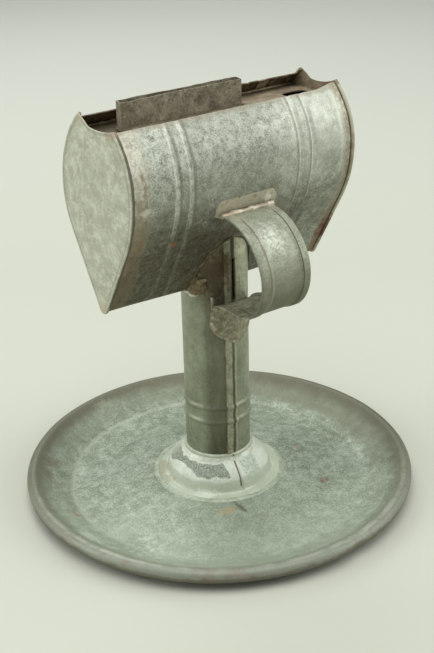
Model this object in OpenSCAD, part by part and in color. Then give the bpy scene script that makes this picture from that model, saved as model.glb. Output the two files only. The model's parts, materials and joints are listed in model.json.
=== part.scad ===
// Lard lamp of soldered tinned sheet: a saucer base, a round stem with a collar,
// a trough-shaped font with a recessed deck, a flat wick tube, and a strap handle.
// Origin: middle of the base, on the table. X runs along the font, the handle is on the -Y side, Z is up.

/* [Sheet metal] */
// Thickness of the tinned sheet
sheet_t = 0.5; // [0.4:0.05:0.7]
// Gap between two sheets that lie on each other
lap_gap = 0.05; // [0.03:0.01:0.1]
// Reach of a solder fillet from its corner
solder_w = 1.3; // [0.8:0.1:1.6]

/* [Base pan] */
// Diameter over the rolled rim
pan_d = 178; // [160:1:200]
// Height of the rim's top above the table
rim_h = 9.5; // [8:0.5:14]
// Diameter of the floor, up to the crease where the wall starts
floor_d = 137; // [120:1:145]
// Width of the flat ring that stands on the table
rest_w = 8; // [5:0.5:12]
// Rise of the floor from that ring to the middle
crown_h = 3.5; // [1:0.5:5]
// Diameter of the wire inside the rolled rim
wire_d = 4.9; // [3:0.1:6]

/* [Stem] */
// Outside diameter of the stem
stem_d = 29.3; // [24:0.1:36]
// Height of the font's lower edge above the table
stem_h = 99; // [85:1:120]
// Height of the middle of the bead pair above the table
stem_bead_z = 39.4; // [34:0.1:60]
// Distance between the two beads
stem_bead_gap = 7.2; // [5:0.1:10]
// How far the beads stand out
stem_bead_h = 0.8; // [0.4:0.1:1.2]
// Width of one bead
stem_bead_w = 3.6; // [2.4:0.1:4.8]
// Width of the lap where the stem's sheet overlaps itself
seam_w = 5.6; // [4:0.1:8]
// Width of the sprung part of the lap seam
slot_w = 1.3; // [0.6:0.1:2]
// Length of the sprung part
slot_len = 19; // [8:1:22]
// Height of the sprung part's upper end above the font's lower edge
slot_top = 13.8; // [8:0.2:15]

/* [Collar] */
// Diameter of the collar's flange
collar_d = 58; // [52:0.5:66]
// Diameter of the collar's dome
dome_d = 47; // [42:0.5:50]
// Height of the collar above the pan's floor
collar_h = 14.5; // [10:0.5:20]
// Width of the collar's lap seam
collar_seam_w = 5; // [3:0.1:7]

/* [Font] */
// Length over both end caps
font_len = 113; // [96:1:130]
// Widest width of the trough
font_w = 50; // [46:0.5:58]
// Height from the lower edge to the rim
font_h = 79.5; // [72:0.5:86]
// Height from the lower edge to the widest part
belly_h = 55.5; // [50:0.5:60]
// Radius of the side walls above the widest part
top_wall_r = 31.5; // [29:0.5:36]
// Radius of the side walls below the widest part
low_wall_r = 48.5; // [44:0.5:56]
// Radius of the fold along the lower edge
fold_r = 1.5; // [1:0.1:2.5]
// Height of the flange that the caps are folded over
flange_h = 0.8; // [0.6:0.1:1.4]
// Depth of the curved dip in the caps' top edges
dip_h = 2.3; // [1:0.1:6]
// Height of the caps' horns above the rim
horn_h = 1.3; // [0.5:0.1:2]
// Distance from the middle of the font to the middle of each bead pair
bead_x = 31; // [24:0.5:36]
// Distance between the two beads of a pair
bead_gap = 6.7; // [5:0.1:9]
// How far the font's beads stand out
bead_h = 0.9; // [0.5:0.1:1.2]
// Width of one of the font's beads
bead_w = 3.6; // [2.4:0.1:4.8]

/* [Deck] */
// Depth of the deck below the rim
deck_drop = 5.5; // [4:0.5:9]
// Diameter of the filler hole
filler_d = 12.7; // [8:0.1:15]
// Distance from the right cap to the middle of the filler hole
filler_inset = 11; // [9:0.5:14]

/* [Wick] */
// Outside length of the wick tube
tube_len = 59; // [50:1:66]
// Outside thickness of the wick tube
tube_th = 4.2; // [3.8:0.1:7]
// Distance from the left cap to the wick tube
tube_inset = 13.1; // [8:0.1:14]
// Height of the tube's lips above the rim
tube_rise = 6.2; // [4:0.1:12]
// Depth of the tube below the deck
tube_drop = 32; // [20:1:36]
// Radius of the tube's corners
tube_r = 1; // [0.8:0.1:1.6]
// Distance from the tube's left end to the middle of the pinch in its lips
pinch_at = 27; // [18:1:30]
// Length of the pinched stretch
pinch_len = 40; // [24:1:42]
// Thickness of the wick
wick_t = 1.8; // [1.4:0.1:2.4]
// Gap between the wick and the pinched lips, on each side
wick_gap = 0.3; // [0.2:0.05:0.5]
// Gap between the wick's edge and the tube's end, on each side
wick_end_gap = 2.2; // [1.2:0.1:4]
// Depth of the wick's top below the lips
wick_below = 2.5; // [1:0.5:4]
// Length of the wick
wick_len = 75; // [60:1:76]

/* [Handle] */
// Width of the strap
strap_w = 25; // [20:0.5:30]
// Thickness of the strap's sheet
strap_t = 0.6; // [0.5:0.05:0.8]
// Width of the strap's folded hems
hem_w = 4.2; // [3:0.1:6]
// Reach of the loop beyond the font's side
loop_reach = 23.4; // [16:0.1:30]
// Height of the strap's upper run above the font's lower edge
loop_top = 37.5; // [32:0.5:44]
// Depth of the strap's lower run below the font's lower edge
loop_bottom = 2.5; // [0:0.5:6]
// Radius of the loop's upper bend
top_bend_r = 23.5; // [10:0.5:24]
// Radius of the loop's lower bend
low_bend_r = 16; // [8:0.5:18]
// Width of the tab that is soldered to the font
tab_w = 31; // [27:0.5:36]
// Height of that tab
tab_h = 6.5; // [4:0.5:9]
// Clipped corners of that tab
tab_clip = 3; // [1:0.5:3.5]
// Width of the foot that is soldered to the stem
foot_w = 20; // [15:0.5:22]
// Length of that foot
foot_len = 14.5; // [12:0.5:18]
// Depth of the foot's upper end below the font's lower edge
foot_drop = 9; // [7:0.5:12]

/* [Hidden] */
$fn = 96;

tin = [0.62, 0.66, 0.62];
dark_tin = [0.47, 0.49, 0.44];
solder_grey = [0.78, 0.79, 0.74];
sooty_tin = [0.40, 0.37, 0.34];
cotton = [0.80, 0.74, 0.62];

mid_t = sheet_t / 2;
floor_top = crown_h + sheet_t;
solder_thin = 0.4;
// Room for the flat facets of a sheet that is bent round the stem
facet_gap = 0.02;

// Stem: the sheet overlaps itself in a strip that stands out to lap_r and ends at seam_from, in degrees
stem_r = stem_d / 2;
lap_r = stem_r + lap_gap + sheet_t;
stem_bottom = floor_top + lap_gap;
seam_from = -89;
seam_a = seam_w / stem_r * 180 / PI;

// Collar: it slips over the lap strip and its own lap starts at collar_seam_from
collar_low = floor_top + lap_gap + mid_t;
collar_top = floor_top + collar_h;
collar_neck_r = lap_r + lap_gap + mid_t;
collar_turn = 0.9;
collar_hollow_r = collar_neck_r + 0.2 * (dome_d / 2 - collar_neck_r);
collar_hollow_z = collar_top - 0.35 * collar_h;
collar_shoulder_z = collar_low + 0.62 * collar_h;
collar_seam_from = -94;
collar_seam_a = collar_seam_w / (dome_d / 2) * 180 / PI;

// Rolled rim: the sheet's middle runs round the wire on this radius
roll_out_r = wire_d / 2 + lap_gap + sheet_t;
roll_mid_r = roll_out_r - mid_t;
roll_at = [pan_d / 2 - roll_out_r, rim_h - roll_out_r];
roll_from = 170;
roll_to = -150;

// Font section in the YZ plane: a fold circle at the bottom, then on each side a flat flank and two arcs
// that meet at the widest part
rim_z = stem_h + font_h;
belly_z = stem_h + belly_h;
top_wall_at = [font_w / 2 - top_wall_r, belly_z];
low_wall_at = [font_w / 2 - low_wall_r, belly_z];
fold_at = [0, stem_h + fold_r];
flank = atan2(low_wall_at[0], low_wall_at[1] - fold_at[1])
    + asin((low_wall_r - fold_r) / norm(low_wall_at - fold_at));
fold_steps = 3;
low_steps = 8;
top_steps = 9;
stem_cut = stem_h + lap_r / tan(flank) + sheet_t;
wrap_end = font_len / 2 - sheet_t - lap_gap;
flange_x = wrap_end - mid_t;
seam_out = flange_h + lap_gap + sheet_t;
lip_in = wrap_end - sheet_t - lap_gap;
cap_in = font_len / 2 - sheet_t;
horn_z = rim_z + horn_h;

deck_z = rim_z - deck_drop;
deck_half = wall_half(deck_z, -sheet_t - lap_gap);
filler_x = font_len / 2 - filler_inset;

tube_x0 = -font_len / 2 + tube_inset;
tube_mid = tube_x0 + tube_len / 2;
tube_top = rim_z + tube_rise;
tube_bottom = deck_z - tube_drop;
pinch_x = tube_x0 + pinch_at;
pinch_in = tube_th / 2 - sheet_t - wick_t / 2 - wick_gap;
pinch_from = deck_z + solder_w + 0.5;
pinch_steps = 5;
tube_steps = 16;
tube_fit = 0.1;
wick_top = tube_top - wick_below;
wick_w = tube_len - 2 * (sheet_t + wick_end_gap);

// Handle path in the plane of the loop: u is the distance from the stem's axis towards the handle
loop_u = font_w / 2 + loop_reach;
run_z = stem_h + loop_top;
low_z = stem_h - loop_bottom;
foot_z = stem_h - foot_drop;
foot_in_r = lap_r + lap_gap + facet_gap;
foot_mid_r = foot_in_r + strap_t / 2;
hem_step = 1.3;
tab_r = low_wall_r + lap_gap + strap_t / 2;
tab_bend_r = 1.2;
tab_low_z = run_z + tab_bend_r;
tab_low_u = low_wall_at[0] + sqrt(pow(tab_r, 2) - pow(tab_low_z - belly_z, 2));
bend_end_u = tab_low_u + tab_bend_r;
taper_from_u = foot_mid_r + strap_w / 2;
// The two bends share the loop's height, and neither runs past the straight piece behind it
top_r = min(top_bend_r, loop_u - bend_end_u - 2 * sheet_t, 0.6 * (run_z - low_z));
low_r = min(low_bend_r, loop_u - taper_from_u - 2 * sheet_t, run_z - low_z - top_r);
slope_pull = 8;
foot_pull = 5;

function unit(v) = v / norm(v);
function left_of(d) = [-d[1], d[0]];
function arc(c, r, a0, a1, n) =
    [for (i = [0:n]) let (a = a0 + (a1 - a0) * i / n) c + r * [cos(a), sin(a)]];
function corner(c, r, a) = arc(c, r, a + 30, a - 30, 4);
function bezier(p, n) = [for (i = [0:n]) let (u = i / n, v = 1 - u)
    v * v * v * p[0] + 3 * v * v * u * p[1] + 3 * v * u * u * p[2] + u * u * u * p[3]];
function flipped(p) = [for (i = [len(p) - 1:-1:0]) p[i]];

// Point i of a path, moved s to the left of the way the path runs, with mitred corners
function moved(p, i, s) =
    let (last = len(p) - 1,
         a = left_of(unit(i > 0 ? p[i] - p[i - 1] : p[1] - p[0])),
         b = left_of(unit(i < last ? p[i + 1] - p[i] : p[last] - p[last - 1])),
         m = unit(a + b))
    p[i] + s * m / (m * a);
// Closed outline of a sheet that lies from lo to hi beside a path
function sheet(p, lo, hi) = concat(
    [for (i = [0:len(p) - 1]) moved(p, i, hi)],
    [for (i = [len(p) - 1:-1:0]) moved(p, i, lo)]);
// A rounded bead: places along a sheet, around at, each with its height above the sheet
function bead_points(at, h, w) = [for (i = [-3:3]) [at + w / 2 * i / 3, h * (1 + cos(60 * i)) / 2]];

// Half width of the font above its widest part, at a distance d outside its outer face
function wall_half(z, d) = top_wall_at[0] + sqrt(pow(top_wall_r + d, 2) - pow(z - belly_z, 2));
function top_angle(z, d) = asin((z - belly_z) / (top_wall_r + d));
// Half of the font's section at that distance, from the fold up to z_top
function half_section(d, z_top) = concat(
    arc(fold_at, fold_r + d, -90, -flank, fold_steps),
    arc(low_wall_at, low_wall_r + d, -flank, 0, low_steps),
    [for (i = [1:top_steps]) arc(top_wall_at, top_wall_r + d, 0, top_angle(z_top, d), top_steps)[i]]);
function full_section(d, z_top) =
    let (h = half_section(d, z_top))
    concat(flipped(h), [for (i = [1:len(h) - 1]) [-h[i][0], h[i][1]]]);
// Places along the outer face with their outward directions, [y, z, dy, dz], from the fold up to z_top
function arc_places(c, r, a0, a1, n) =
    [for (i = [0:n]) let (a = a0 + (a1 - a0) * i / n)
        [c[0] + r * cos(a), c[1] + r * sin(a), cos(a), sin(a)]];
function half_places(z_top) = concat(
    arc_places(fold_at, fold_r, -90, -flank, fold_steps),
    arc_places(low_wall_at, low_wall_r, -flank, 0, low_steps),
    [for (i = [1:top_steps]) arc_places(top_wall_at, top_wall_r, 0, top_angle(z_top, 0), top_steps)[i]]);
function mirrored(p) = [for (i = [len(p) - 1:-1:0]) [-p[i][0], p[i][1], -p[i][2], p[i][3]]];
// Outline of the wick tube at height z, grown by d, with the pinch that deepens towards the lips
function pinch(x) = abs(x - pinch_x) < pinch_len / 2 ? (1 + cos(360 * (x - pinch_x) / pinch_len)) / 2 : 0;
function pinch_depth(z) = pinch_in * pow(max(0, (z - pinch_from) / (tube_top - pinch_from)), 1.5);
function tube_side(d, y) = [for (i = [0:tube_steps]) let (u = i / tube_steps)
    [-y * (tube_len / 2 - tube_r) * (1 - 2 * u), y * (tube_th / 2 + d)]];
tube_corner = [tube_len / 2 - tube_r, tube_th / 2 - tube_r];
function tube_outline(d) = concat(
    tube_side(d, 1),
    corner(tube_corner, tube_r + d, 45),
    corner([tube_corner[0], -tube_corner[1]], tube_r + d, -45),
    tube_side(d, -1),
    corner(-tube_corner, tube_r + d, -135),
    corner([-tube_corner[0], tube_corner[1]], tube_r + d, 135));
function tube_ring(d, z) = [for (p = tube_outline(d))
    [p[0] + tube_mid, p[1] - sign(p[1]) * pinch_depth(z) * pinch(p[0] + tube_mid), z]];

// Solid through a row of rings whose points pair up across a sheet: the first with the last, and so on
module loft(rings) {
    n = len(rings[0]);
    m = len(rings);
    polyhedron(
        points = [for (r = rings) each r],
        faces = concat(
            [for (k = [0:m - 2], i = [0:n - 1]) each side_faces(k * n, (k + 1) * n, i, n)],
            [for (k = [0, m - 1], i = [0:ceil(n / 2) - 2]) each strip_faces(k * n, i, n, k > 0)]));
}
// The same with the last ring joined to the first, as in a tube with a wall
module loft_round(rings) {
    n = len(rings[0]);
    m = len(rings);
    polyhedron(
        points = [for (r = rings) each r],
        faces = [for (k = [0:m - 1], i = [0:n - 1]) each side_faces(k * n, (k + 1) % m * n, i, n)]);
}
function side_faces(a, b, i, n) =
    let (j = (i + 1) % n) [[a + i, a + j, b + j], [a + i, b + j, b + i]];

// Extrudes a YZ outline from x0 to x1
module along_x(x0, x1) {
    translate([x0, 0, 0]) rotate([90, 0, 90]) linear_extrude(x1 - x0) children();
}
module font_solid(d) {
    along_x(-font_len / 2 - 1, font_len / 2 + 1) polygon(full_section(d, rim_z));
}
// Two triangles, or one at the middle, between four points that pair up
function strip_faces(base, i, n, turned) =
    let (a = base + i, b = base + n - 1 - i,
         f = b - a < 3 ? [[a, a + 1, b]] : [[a, a + 1, b - 1], [a, b - 1, b]])
    turned ? f : [for (t = f) flipped(t)];
// Sweeps an outline of [place along x, height above the outer face] along places of the font's section
module round_section(outline, places) {
    loft([for (p = places) [for (q = outline) [q[0], p[0] + q[1] * p[2], p[1] + q[1] * p[3]]]]);
}

function pan_path() = concat(
    [[0, crown_h + mid_t], [collar_d / 2 + 2 * solder_w, crown_h + mid_t],
     [floor_d / 2 - rest_w, mid_t], [floor_d / 2, mid_t]],
    arc(roll_at, roll_mid_r, roll_from, roll_to, 32));
module base_pan() {
    color(tin) rotate_extrude() polygon(sheet(pan_path(), -mid_t, mid_t));
}
module rim_wire() {
    color(dark_tin) rotate_extrude() translate(roll_at) circle(d = wire_d, $fn = 48);
}

// The neck is a short sleeve, the dome swells out of it, and a small turn leads into the flat flange
function collar_path(end_gap) = concat(
    [[collar_neck_r, collar_top - end_gap]],
    bezier([[collar_neck_r, collar_top - collar_turn], [collar_hollow_r, collar_hollow_z],
            [dome_d / 2, collar_shoulder_z], [dome_d / 2, collar_low + collar_turn]], 14),
    [[dome_d / 2 + collar_turn, collar_low], [collar_d / 2 - end_gap, collar_low]]);
module stem_collar() {
    color(tin) {
        rotate_extrude() polygon(sheet(collar_path(0), -mid_t, mid_t));
        rotate([0, 0, collar_seam_from - collar_seam_a])
            rotate_extrude(angle = collar_seam_a) polygon(sheet(collar_path(lap_gap), 0, mid_t + sheet_t));
    }
}
module collar_floor_solder() {
    r = collar_d / 2 + lap_gap;
    z = floor_top + lap_gap;
    color(solder_grey) rotate_extrude()
        polygon([[r, z], [r + solder_w, z], [r + solder_thin, z + solder_thin / 2], [r, z + sheet_t]]);
}
module collar_neck_solder() {
    r = stem_r + lap_gap;
    z = collar_top + lap_gap;
    color(solder_grey) difference() {
        rotate_extrude() polygon([[r, z], [collar_neck_r + mid_t, z], [lap_r + solder_thin, z + solder_thin],
            [r, z + sheet_t + solder_w]]);
        stem_lap(lap_gap);
    }
}

stem_beads = [for (s = [-1, 1])
    each bead_points(stem_bead_z + s * stem_bead_gap / 2, stem_bead_h, stem_bead_w)];
function stem_path() = concat(
    [[stem_r - mid_t, stem_cut]],
    [for (p = flipped(stem_beads)) [stem_r - mid_t + p[1], p[0]]],
    [[stem_r - mid_t, stem_bottom]]);
// The lap strip, widened by grow on its outer face and its two edges
module stem_lap(grow) {
    grow_a = grow / stem_r * 180 / PI;
    rotate([0, 0, seam_from - seam_a - grow_a]) rotate_extrude(angle = seam_a + 2 * grow_a)
        polygon(sheet(stem_path(), 0, mid_t + lap_gap + sheet_t + grow));
}
// The lap has sprung open beside the font and just above the handle's foot
module stem_tube() {
    color(dark_tin) difference() {
        union() {
            rotate_extrude() polygon(sheet(stem_path(), -mid_t, mid_t));
            stem_lap(0);
        }
        font_solid(lap_gap);
        translate([-slot_w - mid_t, -lap_r - 1, stem_h + slot_top - slot_len])
            cube([slot_w, 2 * sheet_t + 2, slot_len]);
    }
}
module saddle_solder() {
    color(solder_grey) difference() {
        intersection() {
            cylinder(r = lap_r + solder_w, h = stem_cut);
            font_solid(2 * lap_gap + solder_w);
        }
        font_solid(2 * lap_gap);
        cylinder(r = stem_r + lap_gap, h = stem_cut + 1);
        stem_lap(lap_gap);
    }
}

font_beads = [for (c = [-bead_x, bead_x], s = [-1, 1])
    each bead_points(c + s * bead_gap / 2, bead_h, bead_w)];
function wrap_path() = concat(
    [[-flange_x, flange_h], [-flange_x, -mid_t]],
    [for (p = font_beads) [p[0], p[1] - mid_t]],
    [[flange_x, -mid_t], [flange_x, flange_h]]);
module font_wrapper() {
    half = half_places(rim_z);
    color(tin) round_section(sheet(wrap_path(), -mid_t, mid_t),
        concat(mirrored(half), [for (i = [1:len(half) - 1]) half[i]]));
}

// Cap outline up to the horns, with the dip in its top edge
module cap_blank(d) {
    half = wall_half(horn_z, seam_out);
    dip_r = (pow(half, 2) + pow(dip_h + horn_h, 2)) / (2 * (dip_h + horn_h));
    difference() {
        polygon(full_section(d, horn_z));
        translate([0, rim_z - dip_h + dip_r]) circle(r = dip_r);
    }
}
module right_cap() {
    along_x(cap_in, font_len / 2) cap_blank(seam_out);
    along_x(lip_in - sheet_t, cap_in) difference() {
        cap_blank(seam_out);
        polygon(full_section(flange_h + lap_gap, horn_z + 1));
    }
    along_x(lip_in - sheet_t, lip_in) difference() {
        cap_blank(seam_out);
        polygon(full_section(lap_gap, horn_z + 1));
    }
}
module right_end_cap() {
    color(tin) right_cap();
}
module left_end_cap() {
    color(tin) mirror([1, 0, 0]) right_cap();
}
// Fillet in the corner between the cap and each wall, from the flank's lower end up to the deck
module cap_solder() {
    x = cap_in - lap_gap;
    d = -sheet_t - lap_gap;
    half = half_places(deck_z - sheet_t - 2 * lap_gap);
    places = [for (i = [fold_steps + 1:len(half) - 1]) half[i]];
    for (s = [0, 1]) mirror([0, s, 0])
        round_section([[x, d], [x, d - solder_w], [x - solder_w, d]], places);
}
module right_cap_solder() {
    color(solder_grey) cap_solder();
}
module left_cap_solder() {
    color(solder_grey) mirror([1, 0, 0]) cap_solder();
}

module font_deck() {
    color(sooty_tin) translate([0, 0, deck_z - sheet_t]) linear_extrude(sheet_t) difference() {
        square([2 * (cap_in - lap_gap), 2 * deck_half], center = true);
        translate([tube_mid, 0]) polygon(tube_outline(tube_fit));
        translate([filler_x, 0]) circle(d = filler_d);
    }
}
module deck_solder() {
    color(solder_grey) for (s = [0, 1]) mirror([0, s, 0])
        along_x(-cap_in + lap_gap, cap_in - lap_gap) polygon([[deck_half - solder_w, deck_z + lap_gap],
            [deck_half - lap_gap, deck_z + lap_gap],
            [wall_half(deck_z + solder_w, -sheet_t - 2 * lap_gap), deck_z + solder_w]]);
}

module wick_tube() {
    pinch_z = (tube_top - pinch_from) / pinch_steps;
    zs = concat([tube_bottom], [for (i = [0:pinch_steps]) pinch_from + i * pinch_z]);
    color(sooty_tin) loft_round(concat(
        [for (z = zs) tube_ring(0, z)],
        [for (z = flipped(zs)) tube_ring(-sheet_t, z)]));
}
module wick_tube_solder() {
    z = deck_z + lap_gap;
    color(solder_grey) loft_round([tube_ring(tube_fit, z), tube_ring(tube_fit, z + solder_w),
        tube_ring(tube_fit + solder_w, z)]);
}
module wick() {
    color(cotton) translate([tube_mid, 0, wick_top - wick_len / 2])
        cube([wick_w, wick_t, wick_len], center = true);
}

// The strap's places, [u, z, half width, hem, wrap], where wrap 1 bends the sheet round the stem
function with(path, half, hem, wrap) = [for (p = path) [p[0], p[1], half, hem, wrap]];
function tab_at(from_top) =
    let (a = asin((tab_low_z - belly_z) / tab_r) + (tab_h - from_top) / tab_r * 180 / PI)
    low_wall_at + tab_r * [cos(a), sin(a)];
function tab_places() = concat(
    [for (d = [0, tab_clip / 2]) each with([tab_at(d)], tab_w / 2 - tab_clip + d, 0, 0)],
    with([for (i = [0:3]) tab_at(tab_clip + (tab_h - tab_clip) * i / 3)], tab_w / 2, 0, 0),
    [for (i = [1:4]) with(arc([bend_end_u, tab_low_z], tab_bend_r, 180, 270, 4), strap_w / 2, 0, 0)[i]]);
function loop_places() = with(concat(
    [[bend_end_u + sheet_t, run_z]],
    arc([loop_u - top_r, run_z - top_r], top_r, 90, 0, 16),
    arc([loop_u - low_r, low_z + low_r], low_r, 0, -90, 12)), strap_w / 2, 1, 0);
// Below the loop the hems have run out, and the strap narrows and takes up the stem's curve
function slope_places() =
    let (p = bezier([[taper_from_u, low_z], [taper_from_u - slope_pull, low_z],
                     [foot_mid_r, foot_z + foot_pull], [foot_mid_r, foot_z]], 10))
    [for (i = [0:10]) [p[i][0], p[i][1], (strap_w + (foot_w - strap_w) * i / 10) / 2, 0, i / 10]];
function foot_places() =
    let (z = foot_z - foot_len + foot_w / 2)
    [for (a = [0:10:80]) [foot_mid_r, z - foot_w / 2 * sin(a), foot_w / 2 * cos(a), 0, 1]];
module handle_strap() {
    places = concat(tab_places(), loop_places(), slope_places(), foot_places());
    path = [for (p = places) [p[0], p[1]]];
    hem_at = 1 - 2 * hem_w / strap_w;
    step_at = hem_at - 2 * hem_step / strap_w;
    half = concat([for (i = [0:3]) step_at * i / 3], [for (i = [0:3]) hem_at + (1 - hem_at) * i / 3]);
    across = concat([for (i = [len(half) - 1:-1:1]) -half[i]], half);
    color(tin) loft([for (i = [0:len(places) - 1]) [
        for (side = [-1, 1], c = side < 0 ? across : flipped(across))
            let (raised = side > 0 && abs(c) >= hem_at ? places[i][3] * sheet_t : 0,
                 q = moved(path, i, side * strap_t / 2 + raised), x = c * places[i][2])
            [x, -q[0] - places[i][4] * (sqrt(q[0] * q[0] - x * x) - q[0]), q[1]]]]);
}
// Fillet in the corner between the strap's upper face and the tab
module handle_top_solder() {
    u = bend_end_u + sheet_t;
    z = run_z + strap_t / 2 + lap_gap;
    half = strap_w / 2 - hem_w - hem_step - lap_gap;
    color(solder_grey) along_x(-half, half) polygon([[-u, z], [-u - solder_w, z], [-u, z + solder_thin]]);
}
// Solder between the foot and the stem, showing as a thin edge round the foot
module handle_foot_solder() {
    r = foot_w / 2 + solder_thin;
    z = foot_z - foot_len + foot_w / 2;
    color(solder_grey) difference() {
        intersection() {
            rotate([90, 0, 0]) linear_extrude(foot_in_r) {
                translate([0, z]) circle(r = r);
                translate([-r, z]) square([2 * r, foot_z - z]);
            }
            cylinder(r = lap_r, h = foot_z);
        }
        cylinder(r = stem_r + lap_gap, h = foot_z + 1);
        stem_lap(lap_gap);
    }
}

base_pan();
rim_wire();
stem_collar();
collar_floor_solder();
collar_neck_solder();
stem_tube();
saddle_solder();
font_wrapper();
left_end_cap();
right_end_cap();
left_cap_solder();
right_cap_solder();
font_deck();
deck_solder();
wick_tube();
wick_tube_solder();
wick();
handle_strap();
handle_top_solder();
handle_foot_solder();
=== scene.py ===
# Lard lamp of soldered tinned sheet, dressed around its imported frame
import json
import math
import bpy
import bmesh
from mathutils import Matrix, Vector, noise


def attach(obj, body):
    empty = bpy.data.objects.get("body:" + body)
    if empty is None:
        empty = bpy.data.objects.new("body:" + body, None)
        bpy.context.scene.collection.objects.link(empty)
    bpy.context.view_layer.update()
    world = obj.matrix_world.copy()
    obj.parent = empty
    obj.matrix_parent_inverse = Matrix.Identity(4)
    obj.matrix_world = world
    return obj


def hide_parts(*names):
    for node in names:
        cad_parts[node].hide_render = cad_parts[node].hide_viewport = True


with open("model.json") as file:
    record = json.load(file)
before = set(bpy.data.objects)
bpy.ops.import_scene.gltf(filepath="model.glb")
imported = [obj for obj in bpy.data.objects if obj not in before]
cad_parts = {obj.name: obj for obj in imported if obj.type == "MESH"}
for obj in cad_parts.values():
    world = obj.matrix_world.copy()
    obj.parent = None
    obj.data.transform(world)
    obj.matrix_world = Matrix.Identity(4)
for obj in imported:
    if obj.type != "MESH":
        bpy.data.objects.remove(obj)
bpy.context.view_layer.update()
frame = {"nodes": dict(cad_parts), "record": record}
mm = 0.001
scene = bpy.context.scene
bodyOf = {node: body for body, nodes in frame["record"]["behaviour"]["bodies"].items() for node in nodes}


# Camera, light and surroundings

view = dict(place=(-271.7, -370.8, 293.9), azimuth=-36.32, tilt=25.33, roll=-1.476, focalPixels=1150, longSide=653)


def addCamera():
    data = bpy.data.cameras.new("photoCamera")
    data.sensor_width = 36
    data.lens = 36 * view["focalPixels"] / view["longSide"]
    data.clip_start, data.clip_end = 0.01, 20
    a, e, r = (math.radians(view[k]) for k in ("azimuth", "tilt", "roll"))
    back = Vector((math.sin(a) * math.cos(e), -math.cos(a) * math.cos(e), math.sin(e)))
    side = Vector((0, 0, 1)).cross(back).normalized()
    up = back.cross(side)
    right = math.cos(r) * side + math.sin(r) * up
    above = -math.sin(r) * side + math.cos(r) * up
    turn = Matrix((right, above, back)).transposed().to_4x4()
    camera = bpy.data.objects.new("photoCamera", data)
    camera.matrix_world = Matrix.Translation(Vector(view["place"]) * mm) @ turn
    scene.collection.objects.link(camera)
    scene.camera = camera


lights = dict(
    key=dict(place=(-0.10, -0.14, 1.38), aim=(0, 0, 0.09), size=1.5, power=13.0, tint=(1.0, 0.995, 0.98)),
    left=dict(place=(-1.02, 0.50, 0.60), aim=(0, 0, 0.10), size=0.9, power=6.5, tint=(0.99, 1.0, 0.98)),
    right=dict(place=(0.85, -0.72, 0.66), aim=(0, 0, 0.09), size=0.9, power=6.0, tint=(0.99, 1.0, 0.98)),
    back=dict(place=(0.30, 0.90, 1.0), aim=(0, 0, 0.12), size=0.8, power=4.0, tint=(0.98, 1.0, 0.98)))
surroundings = dict(sky=(0.80, 0.83, 0.79), skyPower=0.32, floor=(200, 203, 190), far=(235, 238, 231), reach=6.0)


def addLights():
    for name, s in lights.items():
        lamp = bpy.data.lights.new(name + "Light", "AREA")
        lamp.shape = "DISK"
        lamp.size = s["size"]
        lamp.energy = s["power"]
        lamp.color = s["tint"]
        holder = bpy.data.objects.new(name + "Light", lamp)
        towards = Vector(s["place"]) - Vector(s["aim"])
        holder.matrix_world = Matrix.Translation(s["place"]) @ towards.to_track_quat("Z", "Y").to_matrix().to_4x4()
        scene.collection.objects.link(holder)
    world = bpy.data.worlds.new("softRoom")
    world.use_nodes = True
    sky = world.node_tree.nodes["Background"]
    sky.inputs["Color"].default_value = (*surroundings["sky"], 1)
    sky.inputs["Strength"].default_value = surroundings["skyPower"]
    scene.world = world


# Node helpers

def addNode(tree, kind, inputs=(), **settings):
    node = tree.nodes.new(kind)
    for key, value in settings.items():
        setattr(node, key, value)
    for key, value in dict(inputs).items():
        if isinstance(value, bpy.types.NodeSocket):
            tree.links.new(value, node.inputs[key])
        else:
            node.inputs[key].default_value = value
    return node


def linear(colour):
    # An 8-bit screen colour as the linear values that a shader takes
    return tuple((c / 255 / 12.92) if c < 11 else ((c / 255 + 0.055) / 1.055) ** 2.4 for c in colour) + (1,)


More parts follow.
